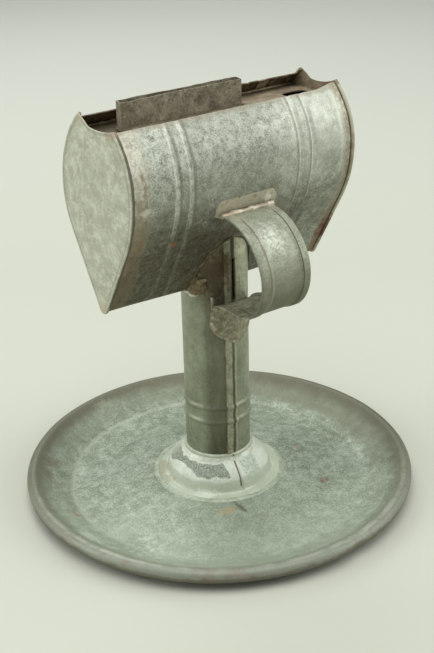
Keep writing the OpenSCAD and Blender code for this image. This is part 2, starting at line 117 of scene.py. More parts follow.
class Paint:
    # Short calls for one material's tree, all on Object coordinates
    def __init__(self, name):
        self.material = bpy.data.materials.new(name)
        self.material.use_nodes = True
        self.tree = self.material.node_tree
        self.tree.nodes.clear()
        self.place = addNode(self.tree, "ShaderNodeTexCoord").outputs["Object"]
        self.count = 0

    def noise(self, size, detail=3, rough=0.55, warp=0.0, stretch=(1, 1, 1)):
        # Noise whose grain is about size mm, shifted so that no two layers match
        self.count += 1
        shift = addNode(self.tree, "ShaderNodeMapping", {"Vector": self.place, "Location": (self.count * 0.37, 0.11, 0.05),
                        "Scale": stretch})
        made = addNode(self.tree, "ShaderNodeTexNoise", {"Vector": shift.outputs[0], "Scale": 1 / (size * mm),
                       "Detail": detail, "Roughness": rough, "Distortion": warp})
        return made.outputs["Fac"]

    def maths(self, kind, a, b=0.0):
        return addNode(self.tree, "ShaderNodeMath", {0: a, 1: b}, operation=kind).outputs[0]

    def ramp(self, value, low, high, bottom=0.0, top=1.0):
        made = addNode(self.tree, "ShaderNodeMapRange", {"Value": value, "From Min": low, "From Max": high,
                       "To Min": bottom, "To Max": top})
        return made.outputs["Result"]

    def times(self, *values):
        product = values[0]
        for value in values[1:]:
            product = self.maths("MULTIPLY", product, value)
        return product

    def tint(self, share, under, colour):
        # The colour, in 8-bit screen values, laid over what is under it by that share
        made = addNode(self.tree, "ShaderNodeMix", data_type="RGBA")
        for socket, value in ((0, share), (6, under), (7, colour)):
            if isinstance(value, bpy.types.NodeSocket):
                self.tree.links.new(value, made.inputs[socket])
            else:
                made.inputs[socket].default_value = linear(value) if hasattr(value, "__len__") else value
        return made.outputs[2]

    def along(self, direction, wander=0.0, grain=8.0):
        # Millimetres along a direction, with an edge that wanders to both sides
        unit = Vector(direction).normalized() / mm
        made = addNode(self.tree, "ShaderNodeVectorMath", {0: self.place, 1: tuple(unit)}, operation="DOT_PRODUCT")
        if not wander:
            return made.outputs["Value"]
        return self.maths("ADD", made.outputs["Value"], self.ramp(self.noise(grain, 4, 0.6), 0.25, 0.75, -wander, wander))

    def radius(self, wander=0.0, grain=6.0):
        # Millimetres from the lamp's upright axis
        flat = addNode(self.tree, "ShaderNodeVectorMath", {0: self.place, 1: (1 / mm, 1 / mm, 0)}, operation="MULTIPLY")
        far = addNode(self.tree, "ShaderNodeVectorMath", {0: flat.outputs[0]}, operation="LENGTH").outputs["Value"]
        if not wander:
            return far
        return self.maths("ADD", far, self.ramp(self.noise(grain, 4, 0.6), 0.25, 0.75, -wander, wander))

    def band(self, value, low, high, soft):
        # 1 between low and high, fading over soft on both sides
        return self.times(self.ramp(value, low - soft, low), self.ramp(value, high + soft, high))

    def spot(self, at, reach, soft=0.5, ragged=0.5, grain=2.5):
        # 1 in a ragged patch of that reach in mm round a point, and 0 outside
        reach = reach if hasattr(reach, "__len__") else (reach,) * 3
        shift = addNode(self.tree, "ShaderNodeVectorMath", {0: self.place, 1: [c * mm for c in at]}, operation="SUBTRACT")
        shrink = addNode(self.tree, "ShaderNodeVectorMath", {0: shift.outputs[0], 1: [1 / (r * mm) for r in reach]},
                         operation="MULTIPLY")
        far = addNode(self.tree, "ShaderNodeVectorMath", {0: shrink.outputs[0]}, operation="LENGTH").outputs["Value"]
        wild = self.ramp(self.noise(grain, 3), 0.25, 0.75, -ragged, ragged)
        return self.ramp(self.maths("ADD", far, wild), 1.0, 1.0 - soft)

    def marks(self, colour, rows):
        # Stains, worn places, painted shadow and painted light, given one by one: (point, reach, tint, share)
        for at, reach, tint, share in rows:
            colour = self.tint(self.times(self.spot(at, reach), share), colour, tint)
        return colour

    def finish(self, colour, rough, bump=None, strength=0.3, depth=0.15, metallic=0.4, **sockets):
        inputs = {"Base Color": colour, "Roughness": rough, "Metallic": metallic, **sockets}
        if bump is not None:
            bumps = addNode(self.tree, "ShaderNodeBump", {"Height": bump, "Strength": strength, "Distance": depth * mm})
            inputs["Normal"] = bumps.outputs["Normal"]
        shader = addNode(self.tree, "ShaderNodeBsdfPrincipled", inputs)
        end = addNode(self.tree, "ShaderNodeOutputMaterial")
        self.tree.links.new(shader.outputs[0], end.inputs["Surface"])
        return self.material


# Finishes of the aged tin, in 8-bit screen colours: soft clouds from dark to light, pits of oxide and grains of bare tin

tinTones = dict(
    pan=dict(light=(154, 166, 147), dark=(132, 143, 123), pit=(98, 106, 88), bare=(196, 207, 190), cloud=18, grain=0.8, speck=0.9, specks=0.32,
             pits=0.46, bares=0.55, grit=0.75, rough=0.5, metallic=0.25),
    stem=dict(light=(154, 161, 138), dark=(134, 139, 116), pit=(100, 102, 80), bare=(180, 186, 164), cloud=12, grain=0.8, speck=0.7, specks=0.2,
              pits=0.43, bares=0.6, grit=0.5, rough=0.42, metallic=0.4),
    collar=dict(light=(228, 235, 220), dark=(210, 219, 202), pit=(168, 176, 156), bare=(240, 245, 234), cloud=7, grain=0.8, speck=0.8, specks=0.1,
                pits=0.38, bares=0.6, grit=0.6, rough=0.45, metallic=0.05),
    font=dict(light=(180, 185, 170), dark=(150, 155, 140), pit=(96, 98, 82), bare=(216, 221, 208), cloud=9, grain=0.6, speck=0.75, specks=0.5,
              pits=0.46, bares=0.56, grit=0.75, rough=0.5, metallic=0.25),
    cap=dict(light=(192, 196, 178), dark=(174, 177, 158), pit=(148, 149, 129), bare=(214, 218, 201), cloud=8, grain=0.9, speck=0.8, specks=0.25,
             pits=0.44, bares=0.57, grit=0.5, rough=0.6, metallic=0.15),
    strap=dict(light=(166, 171, 151), dark=(146, 150, 130), pit=(104, 105, 86), bare=(196, 202, 184), cloud=10, grain=0.7, speck=0.7, specks=0.3,
               pits=0.44, bares=0.59, grit=0.6, rough=0.52, metallic=0.25))


def agedTin(p, t, wearAndPaintedLight=0.0, dirtAndPaintedShade=0.0):
    # Where wearAndPaintedLight is high more bright grains show, and where dirtAndPaintedShade is high more dark pits
    clouds = p.maths("ADD", p.times(p.noise(t["cloud"], 4, 0.5, 0.3), 0.6), p.times(p.noise(t["cloud"] / 4, 3, 0.6), 0.4))
    colour = p.tint(p.ramp(clouds, 0.4, 0.6), t["dark"], t["light"])
    fine = p.noise(t["grain"], 4, 0.75)
    loose = p.noise(t["grain"] * 6, 4, 0.65, 0.3)
    grain = p.maths("ADD", p.times(fine, 0.55), p.times(loose, 0.45))
    pitAt = p.maths("ADD", p.times(dirtAndPaintedShade, 0.08), t["pits"])
    pits = p.ramp(p.maths("SUBTRACT", grain, pitAt), 0.05, -0.10)
    colour = p.tint(p.times(pits, t["grit"]), colour, t["pit"])
    crisp = p.noise(t["speck"], 2, 0.6)
    colour = p.tint(p.times(p.ramp(crisp, 0.45, 0.39), t["specks"]), colour, t["pit"])
    clean = p.maths("SUBTRACT", 1.0, p.times(dirtAndPaintedShade, 0.85))
    colour = p.tint(p.times(p.ramp(crisp, 0.57, 0.63), t["specks"], clean), colour, t["bare"])
    bareAt = p.maths("ADD", p.times(wearAndPaintedLight, -0.08), t["bares"])
    bares = p.ramp(p.maths("SUBTRACT", grain, bareAt), -0.05, 0.10)
    colour = p.tint(p.times(bares, t["grit"]), colour, t["bare"])
    rough = p.maths("SUBTRACT", p.ramp(p.noise(7, 3), 0.3, 0.7, t["rough"] - 0.06, t["rough"] + 0.1), p.times(bares, 0.1))
    return colour, rough, fine


def rustSpecks(p, colour, share=0.6, tint=(116, 76, 50)):
    # Scattered pinpricks of rust, in loose groups
    group = p.ramp(p.noise(26, 2), 0.48, 0.6)
    prick = p.ramp(p.noise(1.6, 2, 0.8), 0.68, 0.72)
    return p.tint(p.times(group, prick, share), colour, tint)


hemEdge = dict(left=-7.7, right=9.0)

panMarks = (((-61.7, 51, 5), (6, 5, 6), (116, 100, 82), 0.4), ((-68, 44, 6), (4, 9, 6), (112, 104, 86), 0.35),
            ((-70.5, 10.4, 4.5), (3.8, 4.4, 3), (158, 126, 108), 0.85), ((32.6, -37.6, 4), (4.6, 3.0, 3), (122, 96, 80), 0.9),
            ((39.9, -9.5, 4), (1.5, 2, 3), (170, 142, 128), 0.7), ((-45.6, -42.8, 4), (1.6, 1.3, 3), (158, 112, 94), 0.8),
            ((-45.2, -52.9, 4), (1.9, 1.6, 3), (134, 112, 94), 0.85), ((-18.8, -31.4, 4), (5, 3, 3), (182, 166, 134), 0.75),
            ((-13, -32, 4), (1.2, 6, 3), (94, 98, 80), 0.7), ((24, 86, 6), (13, 6, 6), (146, 130, 106), 0.6),
            ((-14, 80, 5), (8, 4, 5), (180, 188, 168), 0.3), ((-78, -12, 5), (4, 8, 5), (192, 204, 186), 0.6),
            ((-58, -28, 4), (10, 16, 4), (196, 208, 192), 0.75), ((-46, 34, 4), (16, 12, 4), (168, 184, 166), 0.5))


def panTin():
    t = tinTones["pan"]
    p = Paint("tinPan")
    colour, rough, fine = agedTin(p, t)
    front = p.ramp(p.along((-0.59, -0.81, 0), 14, 24), 0, 70)
    colour = p.tint(p.times(front, 0.5), colour, (176, 188, 168))
    ring = p.radius(2.0)
    # Pale line along the floor's crease, strongest towards the back left: painted highlight
    crease = p.times(p.band(p.radius(0.8), 68.2, 69.4, 0.7), p.ramp(p.along((-0.6, 0.8, 0), 10, 20), -10, 40, 0.05, 0.45))
    colour = p.tint(crease, colour, (186, 196, 176))
    wall = p.ramp(ring, 69, 74)
    back = p.ramp(p.along((0.3, 0.95, 0), 14, 24), -30, 50)
    colour = p.tint(p.times(wall, p.maths("ADD", p.times(back, 0.35), 0.1)), colour, (134, 140, 119))
    near = p.ramp(p.along((-0.45, -0.9, 0), 10, 20), 10, 60)
    rim = p.ramp(ring, 78, 83)
    right = p.ramp(p.along((0.95, 0.3, 0), 10, 20), 20, 70)
    colour = p.tint(p.times(wall, right, 0.7), colour, (116, 120, 99))
    colour = p.tint(p.times(rim, p.maths("ADD", p.times(p.maths("MAXIMUM", back, right), 0.4), 0.5)), colour, (108, 107, 88))
    face = p.times(p.ramp(p.radius(), 84, 86), near, p.ramp(p.along((0, 0, 1), 0.6, 7), 5.2, 6.4))
    colour = p.tint(p.times(face, 0.5), colour, (146, 151, 139))
    blush = p.times(p.ramp(p.radius(), 84, 86), near, p.ramp(p.noise(9, 4), 0.5, 0.6))
    colour = p.tint(p.times(blush, 0.55), colour, (138, 124, 112))
    # Lower half of the rolled rim darker and browner: painted shade on its underside, with brown staining
    under = p.times(p.ramp(p.radius(), 84, 86), p.ramp(p.along((0, 0, 1), 0.8, 7), 7.4, 6.2))
    colour = p.tint(p.times(under, 0.7), colour, (100, 90, 74))
    # Pale line along the top of the rim on the near side: painted highlight
    edge = p.times(p.band(p.radius(0.3), 84.2, 86.4, 0.5), p.ramp(p.along((0, 0, 1)), 8.2, 8.8))
    colour = p.tint(p.times(edge, near, p.ramp(p.noise(9, 4), 0.4, 0.6), 0.45), colour, (186, 192, 176))
    colour = rustSpecks(p, colour, p.ramp(p.radius(), 79, 75, 0.0, 0.6))
    colour = p.marks(colour, panMarks)
    return p.finish(colour, rough, fine, 0.4, 0.15, t["metallic"])


# The dark brown rows from z 101 to 112 are partly painted shadow under the font's bottom, partly stain
stemMarks = (((-12.6, -9, 104), (5, 5, 7), (82, 66, 44), 0.85), ((-9, -12.4, 101), (4, 4, 9), (76, 66, 46), 0.9),
             ((-15, -2, 97.2), (4, 4, 1.6), (214, 210, 192), 0.9),
             ((-6, -14, 112), (6, 5, 7), (88, 76, 54), 0.8), ((-10, -11, 110), (7, 7, 7), (76, 66, 48), 0.8),
             ((-3.6, -15, 104), (1.2, 3, 9), (98, 86, 64), 0.6), ((5, -14, 116), (4, 4, 3), (206, 204, 178), 0.7))


def stemTin():
    t = tinTones["stem"]
    p = Paint("tinStem")
    colour, rough, fine = agedTin(p, t)
    across = p.along((1, 0, 0), 0.3, 5)
    front = p.ramp(p.along((0, -1, 0)), 6, 9)
    # Darker middle of the stem's front: painted shade between the lights at the sides
    dull = p.times(p.band(p.along((1, 0, 0), 1.2, 9), -11, -2.4, 3), front)
    colour = p.tint(p.times(dull, 0.65), colour, (90, 88, 68))
    streak = p.noise(3.0, 3, 0.6, 0.2, (1, 1, 0.2))
    colour = p.tint(p.ramp(streak, 0.5, 0.66, 0.0, 0.15), colour, (166, 172, 150))
    low = p.times(p.ramp(p.along((0, 0, 1), 4, 9), 34, 24), p.band(p.along((1, 0, 0), 1.2, 9), -10, -3, 2), front)
    colour = p.tint(p.times(low, 0.5), colour, (74, 66, 46))
    # Darker top, left of the seam, under the font's bottom: painted shadow
    high = p.ramp(p.along((0, 0, 1), 5, 9), 90, 106)
    colour = p.tint(p.times(high, p.ramp(p.along((1, 0, 0)), -0.4, -1.2), 0.75), colour, (98, 86, 62))
    scale = p.times(p.ramp(p.noise(1.8, 4, 0.7, 0.4), 0.48, 0.6), p.ramp(p.along((1, 0, 0)), -0.4, -1.2),
                    p.ramp(p.along((0, 0, 1), 5, 9), 96, 104))
    colour = p.tint(p.times(scale, 0.75), colour, (146, 130, 98))
    strip = p.times(p.band(across, 0.3, 7.4, 0.8), front, p.ramp(p.along((0, 0, 1), 3), 74, 88))
    mottle = p.ramp(p.noise(2.0, 4, 0.65), 0.42, 0.6, 0.35, 1.0)
    colour = p.tint(p.times(strip, mottle, 0.85), colour, (192, 192, 164))
    colour = p.tint(p.times(strip, p.ramp(p.noise(1.3, 3, 0.7), 0.42, 0.34), 0.7), colour, (104, 96, 68))
    lap = p.times(p.band(across, -5.0, -2.7, 0.4), front, p.ramp(p.noise(4, 3), 0.3, 0.5, 0.5, 1.0))
    colour = p.tint(p.times(lap, p.ramp(p.noise(1.6, 4, 0.7), 0.36, 0.56, 0.35, 0.95)), colour, (176, 176, 150))
    seam = p.times(p.band(across, -0.9, -0.2, 0.3), front, p.ramp(p.noise(5, 3), 0.35, 0.5, 0.4, 1.0))
    colour = p.tint(p.times(seam, 0.7), colour, (184, 184, 158))
    shade = p.times(p.band(across, -2.0, -1.4, 0.3), front, p.ramp(p.along((0, 0, 1), 0, 9), 92, 90))
    colour = p.tint(p.times(shade, 0.75), colour, (76, 70, 50))
    rusty = p.times(p.band(across, -1.9, -0.5, 0.3), front, p.ramp(p.along((0, 0, 1)), 92, 96))
    colour = p.tint(p.times(rusty, 0.85), colour, (68, 54, 34))
    colour = rustSpecks(p, colour, 0.5)
    colour = p.marks(colour, stemMarks)
    return p.finish(colour, rough, fine, 0.3, 0.12, t["metallic"])


def collarTin():
    t = tinTones["collar"]
    p = Paint("tinCollar")
    colour, rough, fine = agedTin(p, t)
    height = p.along((0, 0, 1), 0.9, 4)
    across = p.along((1, 0, 0), 0.5, 3)
    speck = p.ramp(p.noise(0.8, 3, 0.7), 0.36, 0.6, 0.5, 1.0)
    near = p.ramp(p.along((0.59, 0.81, 0), 3, 9), 6, -2)
    band = p.times(p.band(height, 11.2, 15.4, 0.3), near, p.band(across, -19.8, -8.6, 0.25))
    patch = p.times(p.band(height, 9.8, 15.4, 1.6), p.band(across, -1.2, 7.0, 1.2), p.ramp(p.along((0, -1, 0)), 8, 12))
    colour = p.tint(p.times(patch, p.ramp(p.noise(1.2, 4, 0.7), 0.4, 0.56, 0.1, 0.7)), colour, (156, 172, 154))
    colour = p.tint(p.times(band, speck, 0.95), colour, (118, 130, 112))
    far = p.ramp(p.along((0.59, 0.81, 0), 3, 9), -6, 8)
    colour = p.tint(p.times(far, 0.5), colour, (164, 174, 154))
    ring = p.band(p.radius(0.3), 23.2, 24.4, 0.5)
    colour = p.tint(p.times(ring, 0.5), colour, (168, 178, 156))
    flange = p.ramp(p.radius(0.5), 24.4, 25.6)
    colour = p.tint(p.times(flange, 0.7), colour, (184, 195, 173))
    seamLine = p.times(p.band(p.along((0.98, -0.2, 0), 0.12, 3), -0.35, 0.3, 0.15), p.ramp(p.along((0, -1, 0)), 10, 12),
                       p.ramp(p.along((0, 0, 1)), 6.2, 6.8))
    colour = p.tint(p.times(seamLine, 0.85), colour, (84, 70, 50))
    top = p.ramp(p.along((0, 0, 1), 0.6, 3), 17.6, 18.4)
    colour = p.tint(p.times(top, 0.5), colour, (150, 146, 118))
    # The last mark lightens the lower front of the dome, which faces down: painted light
    colour = p.marks(colour, (((-22, 17, 4.5), (6, 8, 3), (160, 155, 120), 0.6), ((-26, 9, 4.5), (3.5, 9, 3), (164, 160, 126), 0.55), 
                              ((-18, -15, 5), (8, 6, 2), (232, 238, 226), 0.6)))
    colour = rustSpecks(p, colour, 0.5)
    return p.finish(colour, rough, fine, 0.5, 0.25, t["metallic"])


fontMarks = (((-32.5, -20.5, 128.5), (1.7, 5, 1.8), (160, 98, 62), 0.8), ((-49.5, -25, 147.5), (3, 6, 1.7), (212, 208, 186), 0.7),
             ((-50, -22, 132), (3, 5, 6), (132, 112, 78), 0.6), ((53, -14, 111), (3.5, 12, 9), (104, 62, 38), 0.9),
             ((48, -16, 120), (8, 8, 6), (110, 98, 76), 0.5))


def fontTin():
    t = tinTones["font"]
    p = Paint("tinFont")
    height = p.along((0, 0, 1), 7, 12)
    across = p.along((1, 0, 0))
    # Lighter top and darker underside: worn tin and dirt, with painted light from above and painted shade underneath
    wearAndPaintedLight = p.ramp(height, 150, 172)
    low = p.times(p.ramp(height, 150, 128), p.ramp(p.along((1, 0, 0), 6, 14), 44, 12, 0.3, 1.0))
    colour, rough, fine = agedTin(p, t, p.maths("SUBTRACT", wearAndPaintedLight, low), low)
    # Darker band below the widest part and darker, browner underside: painted shade, with dirt underneath
    middle = p.band(height, 128, 150, 14)
    colour = p.tint(p.times(middle, p.ramp(p.noise(6, 3), 0.36, 0.6), 0.5), colour, (120, 123, 107))
    grimeAndShade = p.ramp(p.noise(2.4, 3, 0.7), 0.36, 0.6, 0.55, 1.0)
    colour = p.tint(p.times(low, grimeAndShade, 0.92), colour, (86, 76, 55))
    # Lighter towards the upper right: painted reflection
    bright = p.times(p.ramp(p.along((1, 0, 0), 6, 20), 6, 34), p.ramp(height, 138, 158))
    colour = p.tint(p.times(bright, 0.5), colour, (216, 220, 206))
    smoky = p.times(p.band(p.along((1, 0, 0), 6, 20), -26, 14, 12), p.ramp(height, 140, 150))
    colour = p.tint(p.times(smoky, 0.3), colour, (134, 138, 122))
    crust = p.ramp(p.noise(1.4, 3, 0.7), 0.46, 0.38)
    colour = p.tint(p.times(low, crust, 0.75), colour, (58, 50, 34))
    side = p.maths("ABSOLUTE", across)
    for ridge in (fontBeads["offset"] - fontBeads["gap"] / 2, fontBeads["offset"] + fontBeads["gap"] / 2):
        loose = p.maths("ABSOLUTE", p.along((1, 0, 0), 0.25, 4))
        # Pale crest on each bead: painted highlight over worn tin
        ridgeHighlight = p.times(p.band(loose, ridge - 0.6, ridge + 0.9, 0.6), p.ramp(p.noise(1.5, 4, 0.7), 0.38, 0.56, 0.2, 1.0),
                        p.ramp(height, 120, 160, 0.1, 1.0))
        colour = p.tint(p.times(ridgeHighlight, 0.9), colour, (228, 231, 218))
        # Dark line beside each bead: painted shadow
        beside = p.times(p.band(loose, ridge - 2.1, ridge - 1.3, 0.4), p.ramp(height, 108, 120))
        colour = p.tint(p.times(beside, 0.45), colour, (108, 106, 88))
    leftEnd = p.ramp(p.along((1, 0, 0), 1.4, 5), -45.5, -49.5)
    rightEnd = p.ramp(p.along((1, 0, 0), 0.8, 6), 50.4, 51.6)
    streak = p.noise(3.0, 4, 0.6, 0.3, (1, 0.4, 0.4))
    colour = p.tint(p.times(leftEnd, p.ramp(streak, 0.62, 0.4, 0.15, 0.7), p.ramp(fine, 0.6, 0.4, 0.5, 1.0)), colour, (158, 147, 124))
    cream = p.times(leftEnd, p.ramp(height, 142, 162), p.ramp(p.noise(1.3, 4, 0.75), 0.44, 0.56, 0.15, 1.0))
    colour = p.tint(p.times(cream, 0.85), colour, (218, 214, 196))
    colour = p.tint(p.times(leftEnd, p.ramp(height, 134, 118), 0.6), colour, (108, 94, 70))
    line = p.times(p.band(p.along((1, 0, 0), 1.5, 6), -49.8, -48.6, 0.7), p.band(height, 128, 160, 5))
    colour = p.tint(p.times(line, p.ramp(p.noise(2, 3), 0.4, 0.56), 0.65), colour, (124, 106, 78))
    stain = p.times(p.ramp(p.along((1, 0, 0), 1.0, 5), -48.5, -50.5), p.band(height, 124, 156, 6))
    colour = p.tint(p.times(stain, p.ramp(p.noise(1.6, 4, 0.7), 0.4, 0.54), 0.6), colour, (142, 128, 102))
    colour = p.tint(p.times(rightEnd, p.ramp(streak, 0.62, 0.4, 0.1, 0.6)), colour, (164, 156, 134))
    colour = p.tint(p.times(rightEnd, p.ramp(height, 128, 114), 0.8), colour, (120, 88, 64))
    bright = p.times(p.band(p.along((1, 0, 0), 0.5, 6), 49.4, 50.3, 0.3), p.ramp(height, 138, 158))
    colour = p.tint(p.times(bright, 0.6), colour, (218, 220, 206))
    beside = p.times(p.ramp(p.along((1, 0, 0), 1.2, 5), 51.6, 53.4), p.ramp(p.noise(1.6, 4, 0.7), 0.4, 0.54))
    colour = p.tint(p.times(beside, 0.7), colour, (134, 116, 88))
    # Dark line where the cap's lip meets the wrapper: painted shadow in the gap
    groove = p.ramp(p.maths("ABSOLUTE", p.along((1, 0, 0), 0.15, 4)), 54.2, 54.5)
    colour = p.tint(p.times(groove, 0.9), colour, (72, 62, 44))
    edge = p.ramp(p.along((0, 0, 1), 0.8, 5), 176.0, 177.0)
    colour = p.tint(p.times(edge, 0.45), colour, (160, 146, 122))
    colour = rustSpecks(p, colour, 0.6)
    colour = p.marks(colour, fontMarks)
    return p.finish(colour, rough, fine, 0.35, 0.14, t["metallic"])


capMarks = (((-56, 0, 101), (4, 5, 6), (186, 176, 150), 0.7), ((-56, 7, 179), (4, 4, 4), (182, 172, 146), 0.6),
            ((-56, -15, 177), (4, 4, 4), (168, 146, 122), 0.6), ((56, -14, 110), (4, 14, 12), (104, 62, 40), 0.9), ((55.5, -26, 140), (4, 4, 20), (120, 104, 78), 0.5),
            ((56, -14, 179), (4, 3, 3), (104, 90, 66), 0.7), ((56, 8, 180), (4, 4, 4), (120, 104, 78), 0.7))


def capTin():
    # rimDistance, in mm, is kept by the cap's mesh
    t = tinTones["cap"]
    p = Paint("tinCap")
    colour, rough, fine = agedTin(p, t)
    mottle = p.noise(4.5, 5, 0.65, 0.4)
    colour = p.tint(p.ramp(mottle, 0.5, 0.62, 0.0, 0.55), colour, (218, 220, 204))
    colour = p.tint(p.ramp(mottle, 0.48, 0.38, 0.0, 0.35), colour, (168, 166, 146))
    inward = addNode(p.tree, "ShaderNodeAttribute", attribute_name="rimDistance").outputs["Fac"]
    # The lip is painted dark at the left end, as painted shadow in the gap behind it, and pale at the right end, as
    # painted light
    lip = p.ramp(p.maths("ABSOLUTE", p.along((1, 0, 0), 0.12, 3)), 56.15, 55.85)
    litEnd = p.ramp(p.along((1, 0, 0)), 0, 10)
    colour = p.tint(p.times(lip, 0.9), colour, p.tint(litEnd, (84, 76, 56), (186, 180, 156)))
    # Dark line just inside the rim: painted shade in the groove
    groove = p.band(inward, 0.5, 1.0, 0.4)
    colour = p.tint(p.times(groove, p.ramp(p.noise(3, 3), 0.3, 0.5, 0.15, 0.45)), colour, (128, 122, 100))
    inside = p.ramp(p.maths("ABSOLUTE", p.along((1, 0, 0))), 56.25, 56.05)
    well = p.times(inside, p.ramp(p.along((0, 0, 1)), 168, 172), p.ramp(inward, 0.4, 0.8))
    colour = p.tint(p.times(well, p.ramp(p.noise(2.5, 4), 0.36, 0.6, 0.6, 0.95)), colour, (122, 104, 80))
    colour = p.marks(colour, capMarks)
    return p.finish(colour, rough, fine, 0.3, 0.12, t["metallic"])


strapMarks = (((4, -27, 142), (2.4, 4, 1.3), (104, 72, 50), 0.7), ((11, -24.8, 139.4), (2.4, 3, 3.4), (228, 222, 208), 0.9),
              ((1, -15.6, 79), (5, 4, 4), (150, 146, 118), 0.6))


def strapTin():
    t = tinTones["strap"]
    p = Paint("tinStrap")
    # A bright patch: worn bare tin with a painted sheen on it
    patch = p.spot((-1.5, -44, 133), (8.5, 11, 11), 0.8, 0.35)
    colour, rough, fine = agedTin(p, t, p.times(patch, 1.6))
    speckle = p.ramp(p.noise(1.2, 3, 0.7), 0.42, 0.52, 0.2, 1.0)
    colour = p.tint(p.times(patch, speckle, 0.95), colour, (224, 231, 217))
    height = p.along((0, 0, 1), 3, 6)
    colour = p.tint(p.times(p.ramp(height, 124, 106), 0.85), colour, (104, 104, 84))
    colour = p.tint(p.times(p.ramp(height, 137, 140), 0.8), colour, (196, 189, 166))
    speckled = p.times(p.ramp(height, 137, 140), p.ramp(p.noise(1.4, 4, 0.7), 0.48, 0.38))
    colour = p.tint(p.times(speckled, 0.6), colour, (134, 122, 96))
    # The inner run lies in shade and is painted lighter than the rest of the strap: painted light
    inner = p.times(p.ramp(height, 99, 96), p.ramp(p.noise(2.2, 4, 0.65), 0.42, 0.58, 0.35, 0.95))
    colour = p.tint(inner, colour, (186, 184, 158))
    foot = p.times(p.ramp(p.along((0, 0, 1), 1, 5), 96, 94), p.ramp(p.along((0, -1, 0)), 18.5, 17.0))
    colour = p.tint(p.times(foot, p.ramp(p.noise(2.2, 4, 0.7, 0.4), 0.4, 0.58, 0.1, 0.65)), colour, (100, 90, 66))
    colour = p.tint(p.times(foot, p.ramp(p.noise(1.5, 4, 0.7), 0.58, 0.66), 0.4), colour, (170, 164, 136))
    across = p.along((1, 0, 0))
    out = p.ramp(p.along((0, -1, 0)), 27, 31)
    # Along the hem steps: painted shade at both, and a painted highlight at the left
    leftHemShade = p.band(across, hemEdge["left"] - 0.1, hemEdge["left"] + 0.4, 0.4)
    leftHemHighlight = p.band(across, hemEdge["left"] + 0.9, hemEdge["left"] + 1.4, 0.4)
    rightHemShade = p.band(across, hemEdge["right"] - 0.35, hemEdge["right"] + 0.05, 0.15)
    colour = p.tint(p.times(out, leftHemShade, 0.6), colour, (112, 104, 82))
    colour = p.tint(p.times(out, leftHemHighlight, 0.35), colour, (186, 184, 164))
    colour = p.tint(p.times(out, rightHemShade, 0.9), colour, (70, 72, 56))
    colour = rustSpecks(p, colour, 0.4)
    colour = p.marks(colour, strapMarks)
    return p.finish(colour, rough, fine, 0.3, 0.12, t["metallic"])


wellMarks = (((37.5, 15, 174), (3.4, 8, 8), (182, 162, 134), 0.95), ((33.8, 15, 174), (0.9, 8, 8), (84, 62, 42), 0.95),
             ((41.2, 15, 174), (0.9, 8, 8), (84, 62, 42), 0.95))


def sootyTin(name, light, dark, pit, pale, marks=()):
    # Tin browned by soot and fat, with scratches along it down to the metal
    p = Paint(name)
    clouds = p.noise(6, 4, 0.6, 0.4)
    colour = p.tint(p.ramp(clouds, 0.35, 0.65), dark, light)
    fine = p.noise(1.1, 3, 0.7)
    colour = p.tint(p.ramp(fine, 0.45, 0.36, 0, 0.8), colour, pit)
    colour = p.tint(p.ramp(fine, 0.6, 0.68, 0, pale), colour, (176, 170, 148))
    scratch = p.ramp(p.noise(1.4, 3, 0.6, 0.3, (0.2, 1, 1)), 0.62, 0.68, 0, 0.6)
    colour = p.tint(scratch, colour, (172, 164, 140))
    colour = p.tint(p.times(p.ramp(p.noise(4, 4), 0.58, 0.66), pale), colour, (186, 178, 158))
    colour = p.marks(colour, marks)
    return p.finish(colour, p.ramp(clouds, 0.3, 0.7, 0.45, 0.62), fine, 0.4, 0.2, 0.3)


def deckTin():
    # Darker along the back wall, as painted shade for a deeper well, and darker towards the left end, where soot hides
    # most of it
    p = Paint("tinDeck")
    clouds = p.noise(5, 4, 0.6, 0.4)
    colour = p.tint(p.ramp(clouds, 0.35, 0.65), (120, 106, 84), (158, 144, 121))
    fine = p.noise(1.1, 3, 0.7)
    colour = p.tint(p.ramp(fine, 0.45, 0.36, 0, 0.7), colour, (96, 80, 60))
    colour = p.tint(p.ramp(p.along((0, 1, 0), 2.0, 6), 7, 12, 0.0, 0.85), colour, (66, 56, 42))
    colour = p.tint(p.ramp(p.along((1, 0, 0), 4.0, 8), -30, -38, 0.0, 0.8), colour, (78, 68, 52))
    return p.finish(colour, p.ramp(clouds, 0.3, 0.7, 0.5, 0.65), fine, 0.4, 0.2, 0.25)


def solderMetal(name, light, dark, tinge, metallic=0.5):
    p = Paint(name)
    clouds = p.noise(3, 4, 0.6, 0.8)
    colour = p.tint(p.ramp(clouds, 0.36, 0.62), dark, light)
    colour = p.tint(p.ramp(p.noise(5, 4), 0.5, 0.62, 0, 0.7), colour, tinge)
    pits = p.noise(1.0, 3, 0.7)
    colour = p.tint(p.ramp(pits, 0.4, 0.3, 0, 0.7), colour, tuple(0.6 * c for c in dark))
    return p.finish(colour, p.ramp(clouds, 0.3, 0.7, 0.35, 0.5), pits, 0.45, 0.25, metallic)


def ironWire():
    p = Paint("wireIron")
    rust = p.noise(2.5, 5, 0.6)
    colour = p.tint(p.ramp(rust, 0.4, 0.6), (70, 60, 50), (118, 84, 58))
    return p.finish(colour, p.ramp(rust, 0.3, 0.7, 0.55, 0.75), rust, 0.4, 0.2, 0.5)


